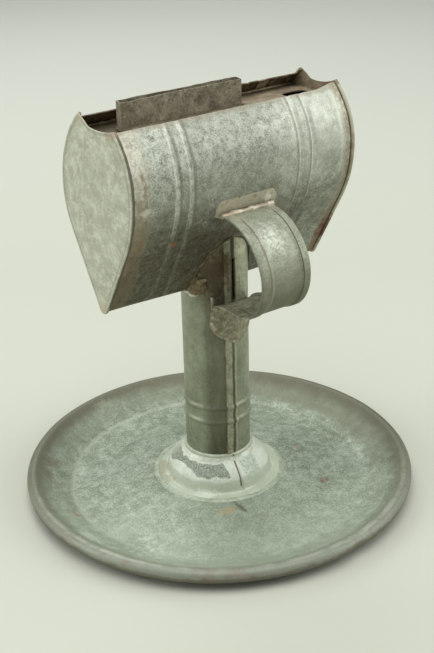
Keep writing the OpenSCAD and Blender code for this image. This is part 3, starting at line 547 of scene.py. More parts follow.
def wickCotton():
    # Plaited cotton by the piece's own map, burnt black towards the top
    p = Paint("cottonWick")
    weave = addNode(p.tree, "ShaderNodeUVMap", uv_map="weave").outputs["UV"]
    waves = [addNode(p.tree, "ShaderNodeTexWave", {"Vector": weave, "Scale": 42.0, "Distortion": 0.6, "Detail": 1.0},
                     wave_type="BANDS", bands_direction=d).outputs["Fac"] for d in ("DIAGONAL", "X")]
    plait = p.maths("MAXIMUM", waves[0], waves[1])
    colour = p.tint(plait, (128, 108, 78), (196, 178, 142))
    charred = p.ramp(p.along((0, 0, 1), 2, 2), 172, 179)
    colour = p.tint(charred, colour, (30, 26, 24))
    return p.finish(colour, p.ramp(plait, 0, 1, 0.95, 0.8), plait, 0.6, 0.3, 0.0)


def floorPaint():
    p = Paint("floorPaper")
    fibre = p.noise(30, 3)
    colour = p.tint(p.ramp(p.along((0.59, 0.81, 0)), 250, 1500), surroundings["floor"], surroundings["far"])
    colour = p.tint(p.ramp(fibre, 0, 1, 0.0, 0.06), colour, (188, 192, 182))
    return p.finish(colour, p.ramp(fibre, 0, 1, 0.85, 0.95), metallic=0.0)


# Mesh helpers, all in millimetres

def keep(name, node, mesh, materials, crease=38):
    mesh.name = name
    mesh.materials.clear()
    for material in materials:
        mesh.materials.append(material)
    mesh.shade_smooth()
    mesh.set_sharp_from_angle(angle=math.radians(crease))
    piece = bpy.data.objects.new(name, mesh)
    scene.collection.objects.link(piece)
    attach(piece, bodyOf[node])
    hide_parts(node)
    return piece


def closedMesh(points, faces, slots=None):
    mesh = bpy.data.meshes.new("made")
    mesh.from_pydata([Vector(q) * mm for q in points], [], faces)
    if slots:
        mesh.polygons.foreach_set("material_index", slots)
    shell = bmesh.new()
    shell.from_mesh(mesh)
    bmesh.ops.remove_doubles(shell, verts=shell.verts, dist=1e-7)
    bmesh.ops.dissolve_degenerate(shell, edges=shell.edges, dist=1e-7)
    bmesh.ops.recalc_face_normals(shell, faces=shell.faces)
    shell.to_mesh(mesh)
    shell.free()
    return mesh


def ringFaces(rings, around, closed=False):
    # Quads between rings of points; the rings close on themselves, and on the first one if closed
    faces = []
    for k in range(rings if closed else rings - 1):
        a, b = k * around, (k + 1) % rings * around
        for i in range(around):
            j = (i + 1) % around
            faces.append((a + i, a + j, b + j, b + i))
    return faces


def loftMesh(rings, closed=False, caps=True):
    around = len(rings[0])
    faces = ringFaces(len(rings), around, closed)
    if not closed and caps:
        faces.append(tuple(range(around)))
        faces.append(tuple(len(rings) * around - 1 - i for i in range(around)))
    return closedMesh([q for ring in rings for q in ring], faces)


def arc(centre, r, a0, a1, n):
    return [(centre[0] + r * math.cos(math.radians(a0 + (a1 - a0) * i / n)),
             centre[1] + r * math.sin(math.radians(a0 + (a1 - a0) * i / n))) for i in range(n + 1)]


def bezier(p, n):
    out = []
    for i in range(n + 1):
        u = i / n
        v = 1 - u
        w = (v ** 3, 3 * v * v * u, 3 * v * u * u, u ** 3)
        out.append(tuple(sum(w[k] * p[k][c] for k in range(4)) for c in range(2)))
    return out


def smooth(x, low, high):
    u = min(1.0, max(0.0, (x - low) / (high - low)))
    return u * u * (3 - 2 * u)


def bulge(x, at, height, width):
    u = (x - at) / (width / 2)
    return height * (1 + math.cos(math.pi * u)) / 2 if abs(u) < 1 else 0.0


def rough3(x, y, z, size, seed=0.0):
    # Smooth noise from about -1 to 1, with bumps of about size mm
    return noise.noise(Vector((x / size + seed, y / size - seed, z / size + 2 * seed)))


def spaced(path, step):
    # Points along a path, at most step apart
    out = [path[0]]
    for a, b in zip(path, path[1:]):
        parts = max(1, math.ceil(math.dist(a, b) / step))
        out += [tuple(a[c] + (b[c] - a[c]) * i / parts for c in range(len(a))) for i in range(1, parts + 1)]
    return out


def beside(path, s):
    # The path moved s to the left of the way it runs
    out = []
    for i, q in enumerate(path):
        a, b = path[max(0, i - 1)], path[min(len(path) - 1, i + 1)]
        d = Vector((b[0] - a[0], b[1] - a[1])).normalized()
        out.append((q[0] - s * d.y, q[1] + s * d.x))
    return out


sheetT = 0.5
lapGap = 0.05


# Saucer base

pan = dict(outerR=89.0, rimTop=9.5, floorR=68.5, restFrom=60.5, crown=3.75, flatR=31.6, wireR=2.45, around=240, step=2.4, rollFrom=128,
           dentAt=-86, dentDepth=1.7)


def panProfile():
    rollR = pan["wireR"] + lapGap + sheetT / 2
    centre = (pan["outerR"] - rollR - sheetT / 2, pan["rimTop"] - rollR - sheetT / 2)
    floor = [(0.4, pan["crown"]), (pan["flatR"], pan["crown"])]
    slope = bezier([(pan["flatR"], pan["crown"]), (pan["flatR"] + 9, pan["crown"]),
                    (pan["restFrom"] - 8, sheetT / 2), (pan["restFrom"], sheetT / 2)], 12)
    roll = arc(centre, rollR, pan["rollFrom"], -150, 36)
    crease = [(pan["floorR"] - 1.2, sheetT / 2), (pan["floorR"] - 0.3, sheetT / 2 + 0.05), (pan["floorR"] + 0.7, sheetT / 2 + 0.45)]
    a = math.radians(pan["rollFrom"])
    wall = bezier([crease[-1], (pan["floorR"] + 5, 2.4), (roll[0][0] - 5 * math.sin(a), roll[0][1] + 5 * math.cos(a)), roll[0]], 10)
    return spaced(floor + slope[1:] + crease + wall[1:-1], pan["step"]) + roll


def panShift(x, y, z):
    # Hand-worked floor: never below the table, never outside the rim's circle
    r = math.hypot(x, y)
    lift = 0.30 * rough3(x, y, 0, 24, 3.0) + 0.12 * rough3(x, y, 0, 8, 5.0)
    inner = smooth(r, 30, 36) * (1 - smooth(r, 56, 61))
    wall = smooth(r, 70, 76)
    low = abs(rough3(x, y, 0, 40, 7.0)) * 0.5 * wall
    dent = math.radians(pan["dentAt"])
    away = math.dist((x, y), (86 * math.cos(dent), 86 * math.sin(dent)))
    push = pan["dentDepth"] * (1 - smooth(away, 2, 9))
    shrink = 1 - (0.25 * abs(rough3(x, y, 0, 33, 11.0)) * wall + push * 0.5) / max(r, 1)
    return x * shrink, y * shrink, z + inner * lift + 0.15 * (inner + wall) - wall * 0.15 - low * 0.6 - push * wall * 0.4


def addPan(tin):
    path = panProfile()
    outline = beside(path, sheetT / 2) + beside(path, -sheetT / 2)[::-1]
    count = pan["around"]
    rings = []
    for k in range(count):
        a = 2 * math.pi * k / count
        ring = []
        for r, z in outline:
            x, y, h = panShift(r * math.cos(a), r * math.sin(a), z)
            ring.append((x, y, max(0.0, h)))
        rings.append(ring)
    keep("saucerBase", "base_pan", loftMesh(rings, closed=True), [tin], 30)
    print("saucer base made")


def addRimWire(iron):
    # The wire goes in and down with the rim's dent
    rollR = pan["wireR"] + lapGap + sheetT / 2
    centre = (pan["outerR"] - rollR - sheetT / 2, pan["rimTop"] - rollR - sheetT / 2)
    circle = arc(centre, pan["wireR"] - 0.05, 0, -345, 23)
    rings = []
    for k in range(pan["around"]):
        a = 2 * math.pi * k / pan["around"]
        rings.append([panShift(r * math.cos(a), r * math.sin(a), z) for r, z in circle])
    keep("rimWire", "rim_wire", loftMesh(rings, closed=True), [iron], 60)
    print("rim wire made")


# Sheets rolled into a tube or cone, with their lap seam

def turnedSheet(name, node, path, angles, place, material, crease=35):
    # path is the middle of the sheet as (r, z), and place(r, z, angle) gives each point of one face
    outer = beside(path, sheetT / 2)
    inner = beside(path, -sheetT / 2)
    rings = []
    for a in angles:
        outward = [place(r, z, a, True) for r, z in outer]
        rings.append(outward + [place(r, z, a, False) for r, z in inner[::-1]])
    keep(name, node, loftMesh(rings, closed=True), [material], crease)


def seamAngles(edges, count):
    # Evenly spread angles, with close pairs at each edge of a lap
    angles = [360 * i / count for i in range(count)]
    for edge in edges:
        angles = [a for a in angles if abs((a - edge + 180) % 360 - 180) > 1.2]
        angles += [(edge + d) % 360 for d in (-1.0, -0.35, -0.08, 0.08, 0.35, 1.0)]
    return sorted(angles)


collar = dict(low=4.3, top=18.5, neckR=15.5, domeR=23.5, flangeR=29.0, turn=0.9, seamAt=-87, seamWidth=12.2, lift=0.5)


def addCollar(tin):
    c = collar
    path = [(c["neckR"], c["top"] + 0.3)] + bezier([(c["neckR"], c["top"] - c["turn"]), (17.1, 13.4), (23.5, 13.3),
                                                     (c["domeR"], c["low"] + c["turn"])], 26)
    path += [(c["domeR"] + 0.3, c["low"] + 0.3), (c["domeR"] + c["turn"], c["low"]), (c["flangeR"], c["low"])]

    def place(r, z, a, outer):
        past = (a - (c["seamAt"] - c["seamWidth"]) + 540) % 360 - 180
        over = smooth(past, -0.3, 0.3) * (1 - smooth(past, c["seamWidth"] - 0.1, c["seamWidth"] + 0.1)) if outer else 0
        t = math.radians(a)
        wobble = 0.22 * rough3(r * math.cos(t), r * math.sin(t), z, 7, 2.0) if outer and z < c["top"] - 1 else 0
        rr = r + c["lift"] * over + wobble
        return rr * math.cos(t), rr * math.sin(t), z + (c["lift"] * over * smooth(r, c["domeR"], c["domeR"] + 1))

    turnedSheet("stemCollar", "stem_collar", spaced(path, 1.0), seamAngles((c["seamAt"], c["seamAt"] - c["seamWidth"]), 144),
                place, tin, 32)
    print("collar made")


# Each side of the font's section: a fold, a flat flank and two arcs that meet at the widest part
font = dict(half=25.0, topR=31.5, lowR=48.5, bellyZ=154.5, foldR=1.5, foldZ=100.5, rimZ=178.5, halfLength=55.95,
            drawnIn=4.2, leftRise=1.3)
font["topY"] = font["half"] - font["topR"]
font["lowY"] = font["half"] - font["lowR"]
font["flank"] = math.degrees(math.atan2(font["lowY"], font["bellyZ"] - font["foldZ"])
                             + math.asin((font["lowR"] - font["foldR"]) / math.hypot(font["lowY"], font["bellyZ"] - font["foldZ"])))


def sectionArcs(topZ, out=0.0):
    # (y of centre, z of centre, radius, angle) of each place from the fold's bottom up to topZ
    f = font
    top = math.degrees(math.asin((topZ - f["bellyZ"]) / (f["topR"] + out)))
    fold = [(0, f["foldZ"], f["foldR"], -90 + (90 - f["flank"]) * i / 8) for i in range(9)]
    low = [(f["lowY"], f["bellyZ"], f["lowR"], -f["flank"] * (1 - i / 30)) for i in range(31)]
    return fold + low + [(f["topY"], f["bellyZ"], f["topR"], top * i / 28) for i in range(1, 29)]


def sectionPoint(item, out=0.0):
    cy, cz, r, a = item
    return cy + (r + out) * math.cos(math.radians(a)), cz + (r + out) * math.sin(math.radians(a))


def settle(x, y, z):
    # Hand work drew the back wall in towards the top, and left the fold a little higher at the left end
    inward = font["drawnIn"] * smooth(z, 135, 178) * smooth(y, 0, 10)
    rise = font["leftRise"] * smooth(-x, 10, 56) * (1 - smooth(z, 99, 114))
    return x, y - inward, z + rise


def trimRim(x, y, z):
    # The wrapper's cut edge runs a little lower in front, and at the right end behind
    f = font
    if z <= f["bellyZ"]:
        return x, y, z
    side = 1 if y > 0 else -1
    dy, dz = abs(y) - f["topY"], z - f["bellyZ"]
    share = 0.07 * (1 - smooth(x, 42, 55)) if y < 0 else 0.02 * smooth(x, 0, 45)
    a = math.atan2(dz, dy) * (1 - share)
    r = math.hypot(dy, dz)
    return x, side * (f["topY"] + r * math.cos(a)), f["bellyZ"] + r * math.sin(a)


def sectionZ(y, out=0.0):
    # Height of the font's underside at a distance y from its middle plane
    y = abs(y)
    below = [sectionPoint(item, out) for item in sectionArcs(font["rimZ"], out)]
    for (y0, z0), (y1, z1) in zip(below, below[1:]):
        if y0 <= y <= y1:
            return z0 + (z1 - z0) * (y - y0) / (y1 - y0)
    return font["bellyZ"]


stem = dict(r=14.4, bottom=4.05, beads=(35.8, 43.0), beadH=0.8, beadW=3.6, lift=0.55, lapFrom=-110.9, lapTo=-89.0,
            slot=(93.8, 112.8), slotAngles=(-96.1, -91.0), fixedTo=60.0)


def addStem(tin):
    s = stem
    fixed = spaced([(s["r"], s["bottom"]), (s["r"], 33.0)], 2.5) + spaced([(s["r"], 33.0), (s["r"], 46.0)], 0.45)[1:]
    fixed += spaced([(s["r"], 46.0), (s["r"], s["fixedTo"])], 2.5)[1:]
    zs = [z for r, z in fixed]
    upper = 40
    angles = seamAngles((s["lapFrom"], s["lapTo"]), 120)
    angles = sorted([a for a in angles if not 262 < a < 270.4] + [263.0, 263.9, 264.6, 266.5, 268.2, 269.0, 269.6, 270.2])
    rows = len(zs) + upper
    slotA = [(d % 360) for d in s["slotAngles"]]

    def shape(z, a):
        lump = sum(bulge(z, at, s["beadH"], s["beadW"]) for at in s["beads"])
        past = (a - s["lapFrom"] + 540) % 360 - 180
        width = s["lapTo"] - s["lapFrom"]
        over = smooth(past, -0.4, 0.4) * (1 - smooth(past, width - 0.1, width + 0.1))
        sprung = smooth(z, 90, 98) * (1 - smooth(z, 108, 114)) * smooth(past, width - 8, width) * over * 0.35
        t = math.radians(a)
        ripple = 0.07 * rough3(math.cos(t) * 14, math.sin(t) * 14, z, 10, 4.0)
        return s["r"] + sheetT / 2 + lump + s["lift"] * over + sprung + ripple

    outer, inner = [], []
    for a in angles:
        t = math.radians(a)
        top = sectionZ((s["r"] + 0.25) * math.sin(t), lapGap)
        for k in range(rows):
            z = zs[k] if k < len(zs) else s["fixedTo"] + (top - s["fixedTo"]) * (k - len(zs) + 1) / upper
            r = shape(z, a)
            lump = sum(bulge(z, at, s["beadH"], s["beadW"]) for at in s["beads"])
            outer.append((r * math.cos(t), r * math.sin(t), z))
            q = s["r"] - sheetT / 2 + lump
            inner.append((q * math.cos(t), q * math.sin(t), z))
    n = len(angles)
    open_ = set()
    for i in range(n):
        mid = (angles[i] + ((angles[(i + 1) % n] - angles[i]) % 360) / 2) % 360
        if slotA[0] < mid < slotA[1]:
            for k in range(rows - 1):
                z = outer[i * rows + k][2]
                if s["slot"][0] < z < s["slot"][1]:
                    open_.add((i, k))
    faces = []
    total = n * rows
    for i in range(n):
        j = (i + 1) % n
        for k in range(rows - 1):
            a, b, c, d = i * rows + k, j * rows + k, j * rows + k + 1, i * rows + k + 1
            if (i, k) not in open_:
                faces.append((a, b, c, d))
                faces.append((total + d, total + c, total + b, total + a))
                continue
            for beyond, (p, q) in (((i, k - 1), (a, b)), ((j, k), (b, c)), ((i, k + 1), (c, d)), (((i - 1) % n, k), (d, a))):
                if beyond not in open_:
                    faces.append((p, q, total + q, total + p))
        a, b = i * rows, j * rows
        faces.append((b, a, total + a, total + b))
        a, b = i * rows + rows - 1, j * rows + rows - 1
        faces.append((a, b, total + b, total + a))
    keep("stemTube", "stem_tube", closedMesh(outer + inner, faces), [tin], 35)
    print("stem made")


# Font: the wrapper follows its section by a Geometry Nodes tree

fontBeads = dict(offset=31.0, gap=6.7, height=0.9, width=3.6, columns=460, rows=150, dent=0.35)


def fullSection():
    half = spaced([sectionPoint(item) for item in sectionArcs(font["rimZ"])], 1.0)
    return [(-y, z) for y, z in half[:0:-1]] + half


def groupTree(name, sizes):
    # A Geometry Nodes tree with named size inputs after its geometry
    tree = bpy.data.node_groups.new(name, "GeometryNodeTree")
    tree.interface.new_socket("Geometry", in_out="INPUT", socket_type="NodeSocketGeometry")
    for label, (kind, value) in sizes.items():
        socket = tree.interface.new_socket(label, in_out="INPUT", socket_type=kind)
        if value is not None:
            socket.default_value = value
    tree.interface.new_socket("Geometry", in_out="OUTPUT", socket_type="NodeSocketGeometry")
    start = tree.nodes.new("NodeGroupInput")
    end = tree.nodes.new("NodeGroupOutput")
    return tree, start, end


def runTree(name, tree, points, edges, values, extra=None):
    # Runs a tree on a polyline and returns the plain mesh
    mesh = bpy.data.meshes.new(name + "Path")
    mesh.from_pydata([Vector(q) * mm for q in points], edges, [])
    guide = bpy.data.objects.new(name + "Guide", mesh)
    scene.collection.objects.link(guide)
    modifier = guide.modifiers.new("shape", "NODES")
    modifier.node_group = tree
    known = {item.name: item.identifier for item in tree.interface.items_tree if item.in_out == "INPUT"}
    for label, value in values.items():
        modifier[known[label]] = value
    if extra:
        extra(guide)
    graph = bpy.context.evaluated_depsgraph_get()
    made = bpy.data.meshes.new_from_object(guide.evaluated_get(graph))
    bpy.data.objects.remove(guide)
    return made


def fontTree():
    number = "NodeSocketFloat"
    sizes = {"Length": (number, 2 * font["halfLength"] * mm), "Bead offset": (number, fontBeads["offset"] * mm),
             "Bead gap": (number, fontBeads["gap"] * mm), "Bead height": (number, fontBeads["height"] * mm),
             "Bead width": (number, fontBeads["width"] * mm), "Dent": (number, fontBeads["dent"] * mm),
             "Columns": ("NodeSocketInt", fontBeads["columns"]), "Rows": ("NodeSocketInt", fontBeads["rows"]),
             "Material": ("NodeSocketMaterial", None)}
    tree, start, end = groupTree("bentFont", sizes)
    o = start.outputs

    def maths(kind, a, b=0.0):
        return addNode(tree, "ShaderNodeMath", {0: a, 1: b}, operation=kind).outputs[0]

    curve = addNode(tree, "GeometryNodeMeshToCurve", {"Mesh": o["Geometry"]})
    grid = addNode(tree, "GeometryNodeMeshGrid", {"Size X": o["Length"], "Size Y": 1.0,
                   "Vertices X": o["Columns"], "Vertices Y": o["Rows"]})
    here = addNode(tree, "ShaderNodeSeparateXYZ", {0: tree.nodes.new("GeometryNodeInputPosition").outputs[0]})
    share = maths("ADD", here.outputs["Y"], 0.5)
    sample = addNode(tree, "GeometryNodeSampleCurve", {"Curves": curve.outputs[0], "Factor": share}, mode="FACTOR")
    out = addNode(tree, "ShaderNodeVectorMath", {0: (1, 0, 0), 1: sample.outputs["Tangent"]}, operation="CROSS_PRODUCT")
    # Height of the four beads: a raised cosine round each one's middle
    fromPair = maths("ABSOLUTE", maths("SUBTRACT", maths("ABSOLUTE", here.outputs["X"]), o["Bead offset"]))
    fromBead = maths("ABSOLUTE", maths("SUBTRACT", fromPair, maths("MULTIPLY", o["Bead gap"], 0.5)))
    turn = maths("MULTIPLY", maths("MINIMUM", maths("DIVIDE", fromBead, maths("MULTIPLY", o["Bead width"], 0.5)), 1.0), math.pi)
    level = addNode(tree, "ShaderNodeSeparateXYZ", {0: sample.outputs["Position"]}).outputs["Z"]
    topFade = addNode(tree, "ShaderNodeMapRange", {"Value": level, "From Min": 0.170, "From Max": 0.178, "To Min": 1.0,
                      "To Max": 0.3}).outputs["Result"]
    lowFade = addNode(tree, "ShaderNodeMapRange", {"Value": level, "From Min": 0.101, "From Max": 0.113}).outputs["Result"]
    fade = maths("MULTIPLY", topFade, lowFade)
    height = maths("MULTIPLY", maths("MULTIPLY", maths("ADD", maths("COSINE", turn), 1.0), 0.5),
                   maths("MULTIPLY", o["Bead height"], fade))
    flat = addNode(tree, "ShaderNodeCombineXYZ", {"X": here.outputs["X"]})
    spot = addNode(tree, "ShaderNodeVectorMath", {0: flat.outputs[0], 1: sample.outputs["Position"]}, operation="ADD")
    waves = addNode(tree, "ShaderNodeTexNoise", {"Vector": spot.outputs[0], "Scale": 45.0, "Detail": 2.0})
    dents = maths("MULTIPLY", maths("SUBTRACT", waves.outputs["Fac"], 0.6), o["Dent"])
    reach = addNode(tree, "ShaderNodeVectorMath", {0: out.outputs[0], "Scale": maths("ADD", height, dents)}, operation="SCALE")
    final = addNode(tree, "ShaderNodeVectorMath", {0: spot.outputs[0], 1: reach.outputs[0]}, operation="ADD")
    moved = addNode(tree, "GeometryNodeSetPosition", {"Geometry": grid.outputs["Mesh"], "Position": final.outputs[0]})
    plain = addNode(tree, "GeometryNodeRealizeInstances", {"Geometry": moved.outputs[0]})
    painted = addNode(tree, "GeometryNodeSetMaterial", {"Geometry": plain.outputs[0], "Material": o["Material"]})
    tree.links.new(painted.outputs[0], end.inputs[0])
    return tree


def addFont(tin, sooty):
    section = [(0, y, z) for y, z in fullSection()]
    edges = [(i, i + 1) for i in range(len(section) - 1)]

    def wall(guide):
        solid = guide.modifiers.new("sheet", "SOLIDIFY")
        solid.thickness = sheetT * mm
        solid.offset = -1
        solid.use_even_offset = True
        solid.use_quality_normals = True

    mesh = runTree("font", fontTree(), section, edges, {"Material": tin}, wall)
    for v in mesh.vertices:
        v.co = Vector(settle(*trimRim(*(v.co / mm)))) * mm
    keep("fontWrapper", "font_wrapper", mesh, [tin, sooty], 40)
    # The sheet's inner face takes the dark sooty finish: soot, darkened further as painted shade for a deeper well
    for face in mesh.polygons:
        y, z = face.center.y / mm, face.center.z / mm
        outward = Vector((0, y, 0.4 * (z - font["bellyZ"])))
        if face.normal.dot(outward) < 0:
            face.material_index = 1
    print("font wrapper made", len(mesh.polygons))


caps = dict(face=56.5, inner=54.9, seam=1.35, centreZ=145.0, rings=(0.3, 0.6, 0.9, 1.2, 1.6, 2.2, 3.2), steps=22,
            left=dict(horns=(178.3, 181.0), dip=((6.5, 176.6), (-4.0, 174.8))),
            right=dict(horns=(179.8, 181.0), dip=((6.5, 176.9), (-4.5, 175.0))))


def addCap(side, node, tin):
    # Rings of points run over the folded lip, then inward over the face, whose top edge dips between the horns
    c = caps
    ends = c["left" if side < 0 else "right"]
    front, rear = (sectionArcs(horn, c["seam"]) for horn in ends["horns"])

    def edge(d):
        return [(-y, z) for y, z in (sectionPoint(item, d) for item in front[:0:-1])] + [sectionPoint(item, d) for item in rear]

    rim = edge(c["seam"])
    dip = bezier([rim[-1], *ends["dip"], rim[0]], 41)[1:-1]
    lip = [(c["inner"] + 0.25, 0.10), (c["inner"], 0.45), (c["inner"] + 0.05, 1.0), (c["inner"] + 0.5, 1.3),
           (c["face"] - 0.55, c["seam"]), (c["face"] - 0.12, 1.15), (c["face"], 0.75)]
    rings, inward = [], []
    for x, d in lip:
        ring = []
        for y, z in edge(d):
            uneven = 0.16 * rough3(x, y, z, 5, 8.0 + side) if x < c["face"] - 0.5 else 0
            ring.append((side * (x + uneven), y, z))
        rings.append(ring + [(side * min(max(x, c["face"] - 0.5), c["face"]), y, z) for y, z in dip])
        inward.append(0.0)
    rim = rings[-1]
    reach = 24.0
    for far in list(c["rings"]) + [c["rings"][-1] + (reach - c["rings"][-1]) * k / c["steps"] for k in range(1, c["steps"])]:
        s = 1 - far / reach
        ring = []
        for x, y, z in rim:
            py, pz = y * s, c["centreZ"] + (z - c["centreZ"]) * s
            swell = 0.45 * smooth(far, 0, 8) + 0.3 * rough3(0, py, pz, 19, 1.5 + side) * smooth(far, 1, 5)
            groove = -0.1 * math.exp(-((far - 1.0) / 0.4) ** 2)
            ring.append((side * (c["face"] + swell + groove), py, pz))
        rings.append(ring)
        inward.append(far)
    count = len(rim)
    points = [q for ring in rings for q in ring]
    far = [d for d in inward for i in range(count)]
    faces = ringFaces(len(rings), count)
    points.append((side * (c["face"] + 0.4), 0, c["centreZ"]))
    last = (len(rings) - 1) * count
    faces += [(last + i, last + (i + 1) % count, len(points) - 1) for i in range(count)]
    # Inner face, straight across the lip's first ring
    base = len(points)
    points += [(side * (c["face"] - 0.5), q[1], q[2]) for q in rings[0]]
    faces += [((i + 1) % count, i, base + i, base + (i + 1) % count) for i in range(count)]
    points.append((side * (c["face"] - 0.5), 0, c["centreZ"]))
    faces += [(base + (i + 1) % count, base + i, len(points) - 1) for i in range(count)]
    far += [reach] * (len(points) - len(far))
    known = {tuple(round(v, 3) for v in settle(*q)): d for q, d in zip(points, far)}
    mesh = closedMesh([settle(*q) for q in points], faces)
    layer = mesh.attributes.new("rimDistance", "FLOAT", "POINT")
    layer.data.foreach_set("value", [known.get(tuple(round(v / mm, 3) for v in q.co), 0.0) for q in mesh.vertices])
    keep("leftCap" if side < 0 else "rightCap", node, mesh, [tin], 40)
    print("end cap made")


def addSettled(name, node, material):
    # A copy of a plain piece of the font, drawn in with its walls
    mesh = frame["nodes"][node].data.copy()
    shell = bmesh.new()
    shell.from_mesh(mesh)
    bmesh.ops.remove_doubles(shell, verts=shell.verts, dist=1e-6)
    for v in shell.verts:
        v.co = Vector(settle(*(v.co / mm))) * mm
    shell.to_mesh(mesh)
    shell.free()
    keep(name, node, mesh, [material], 30)


# Wick tube with pinched lips, and the wick

tube = dict(x0=-43.4, x1=15.6, th=4.2, bottom=141.0, top=184.7, pinchX=-16.4, pinchLength=40.0, pinch=0.55,
            pinchFrom=174.8, rows=46)


def tubeOutline(grow, leftR, rightR):
    # Anticlockwise from the back left: long sides in many steps, for the pinch
    t = tube
    out = []
    for x0, x1, y, r0, r1 in ((t["x1"], t["x0"], 1, rightR, leftR), (t["x0"], t["x1"], -1, leftR, rightR)):
        edge = t["th"] / 2 + grow
        a = x0 + (-r0 if x0 > x1 else r0)
        b = x1 + (r1 if x0 > x1 else -r1)
        out += [(a + (b - a) * i / 60, y * edge) for i in range(61)]
        turn = (90, 180) if y > 0 else (270, 360)
        cx = b
        out += arc((cx, y * (t["th"] / 2 - r1)), r1 + grow, turn[0], turn[1], 6)[1:]
        nextY = -y
        out += arc((cx, nextY * (t["th"] / 2 - r1)), r1 + grow, turn[1], turn[1] + 90, 6)[:-1]
    return out


def addTube(sooty):
    t = tube
    zs = [t["bottom"] + (t["top"] - t["bottom"]) * i / t["rows"] for i in range(t["rows"] + 1)]

    def ring(grow, z):
        out = []
        deep = t["pinch"] * max(0, (z - t["pinchFrom"]) / (t["top"] - t["pinchFrom"])) ** 1.5
        flare = smooth(z, 165, t["top"])
        for x, y in tubeOutline(grow, 0.7, 1.4):
            share = bulge(x, t["pinchX"], 1.0, t["pinchLength"])
            wave = 0.35 * rough3(x, 0, 0, 11, 6.0) * flare
            side = 1 if y > 0 else -1
            y2 = y - side * deep * share + wave
            lower = 0.25 * (y < 0) + 0.3 * abs(rough3(x, y * 0.2, 3, 7, 9.0)) + 0.35 * smooth(x, t["x1"] - 1.5, t["x1"]) ** 2
            out.append((x, y2, z - lower * smooth(z, t["top"] - 6, t["top"])))
        return out

    rings = [ring(0, z) for z in zs] + [ring(-sheetT, z) for z in zs[::-1]]
    keep("wickTube", "wick_tube", loftMesh(rings, closed=True), [sooty], 45)
    print("wick tube made")


wickSize = dict(width=53.6, thick=1.8, low=107.2, high=182.2, midX=-13.9, looseness=0.84)


def addWick(cotton):
    w = wickSize
    rows, across = 60, 40
    outline = [(-1 + 2 * i / across, -1) for i in range(across + 1)] + [(1 - 2 * i / across, 1) for i in range(across + 1)]
    rings = []
    for k in range(rows + 1):
        z = w["low"] + (w["high"] - w["low"]) * k / rows
        ring = []
        for u, side in outline:
            thin = 1 - 0.35 * abs(u) ** 8
            top = 0.5 * rough3(u * 28, side, 0, 1.6, 3.0) * smooth(k, rows - 2, rows)
            ring.append((w["midX"] + u * w["width"] / 2, side * w["thick"] / 2 * thin * w["looseness"], z - abs(top)))
        rings.append(ring)
    mesh = loftMesh(rings)
    weave = mesh.uv_layers.new(name="weave")
    for loop in mesh.loops:
        q = mesh.vertices[loop.vertex_index].co
        weave.data[loop.index].uv = ((q.x / mm - w["midX"]) / w["width"] + 0.5, (q.z / mm - w["low"]) / w["width"])
    piece = keep("flatWick", "wick", mesh, [cotton], 60)
    print("wick made")


# Strap handle: tab on the font, hemmed loop and foot on the stem

strap = dict(tabR=48.85, tabZ=137.7, tabH=6.5, tabHalf=15.5, tabClip=3.0, bendR=1.2, runZ=136.5, lowZ=96.5, loopU=48.4,
             topR=23.5, lowR=16.0, half=12.5, t=0.6, hemW=4.2, taperFrom=28.07, slopePull=8.0, footR=15.57, footZ=90.0,
             footPull=5.0, footHalf=10.0, footLow=75.5)


def strapPlaces():
    # (u, z, half width, hem, wrap round the stem) along the strap's middle
    s = strap
    tabLow = math.degrees(math.asin((s["tabZ"] - font["bellyZ"]) / s["tabR"]))
    tabTop = tabLow + math.degrees(s["tabH"] / s["tabR"])
    tab = arc((font["lowY"], font["bellyZ"]), s["tabR"], tabTop, tabLow, 14)
    bendU = tab[-1][0] + s["bendR"]
    places = []
    for i, (u, z) in enumerate(tab):
        down = s["tabH"] * i / 14
        half = s["tabHalf"] - max(0, s["tabClip"] - down) * 0.75
        places.append((u, z, half, 0, 0))
    neck = arc((bendU, s["tabZ"]), s["bendR"], 180, 270, 6)[1:]
    places += [(u, z, s["tabHalf"] + (s["half"] - s["tabHalf"]) * i / 5, 0, 0) for i, (u, z) in enumerate(neck)]
    loop = spaced([(bendU + 0.6, s["runZ"]), (s["loopU"] - s["topR"], s["runZ"])], 1.2)
    loop += arc((s["loopU"] - s["topR"], s["runZ"] - s["topR"]), s["topR"], 90, 0, 36)[1:]
    loop += arc((s["loopU"] - s["lowR"], s["lowZ"] + s["lowR"]), s["lowR"], 0, -90, 32)
    loop += spaced([(s["loopU"] - s["lowR"], s["lowZ"]), (s["taperFrom"], s["lowZ"])], 1.2)[1:]
    for i, (u, z) in enumerate(loop):
        start = smooth(i, -1, 3)
        fading = 1 - smooth(u, s["taperFrom"], s["taperFrom"] + 5) if z < s["lowZ"] + 1 else 0
        places.append((u, z, s["half"], start * (1 - fading), 0))
    slope = bezier([(s["taperFrom"], s["lowZ"]), (s["taperFrom"] - s["slopePull"], s["lowZ"]),
                    (s["footR"], s["footZ"] + s["footPull"]), (s["footR"], s["footZ"])], 26)[1:]
    places += [(u, z, s["half"] + (s["footHalf"] - s["half"]) * smooth(i, 0, 25), 0, smooth(i, 0, 24))
               for i, (u, z) in enumerate(slope)]
    middle = s["footLow"] + s["footHalf"]
    foot = [middle - s["footHalf"] * math.sin(math.radians(a)) for a in range(0, 88, 6)]
    places += [(s["footR"], z, s["footHalf"] * math.sqrt(max(0.004, 1 - ((middle - z) / s["footHalf"]) ** 2)), 0, 1)
               for z in foot]
    return places


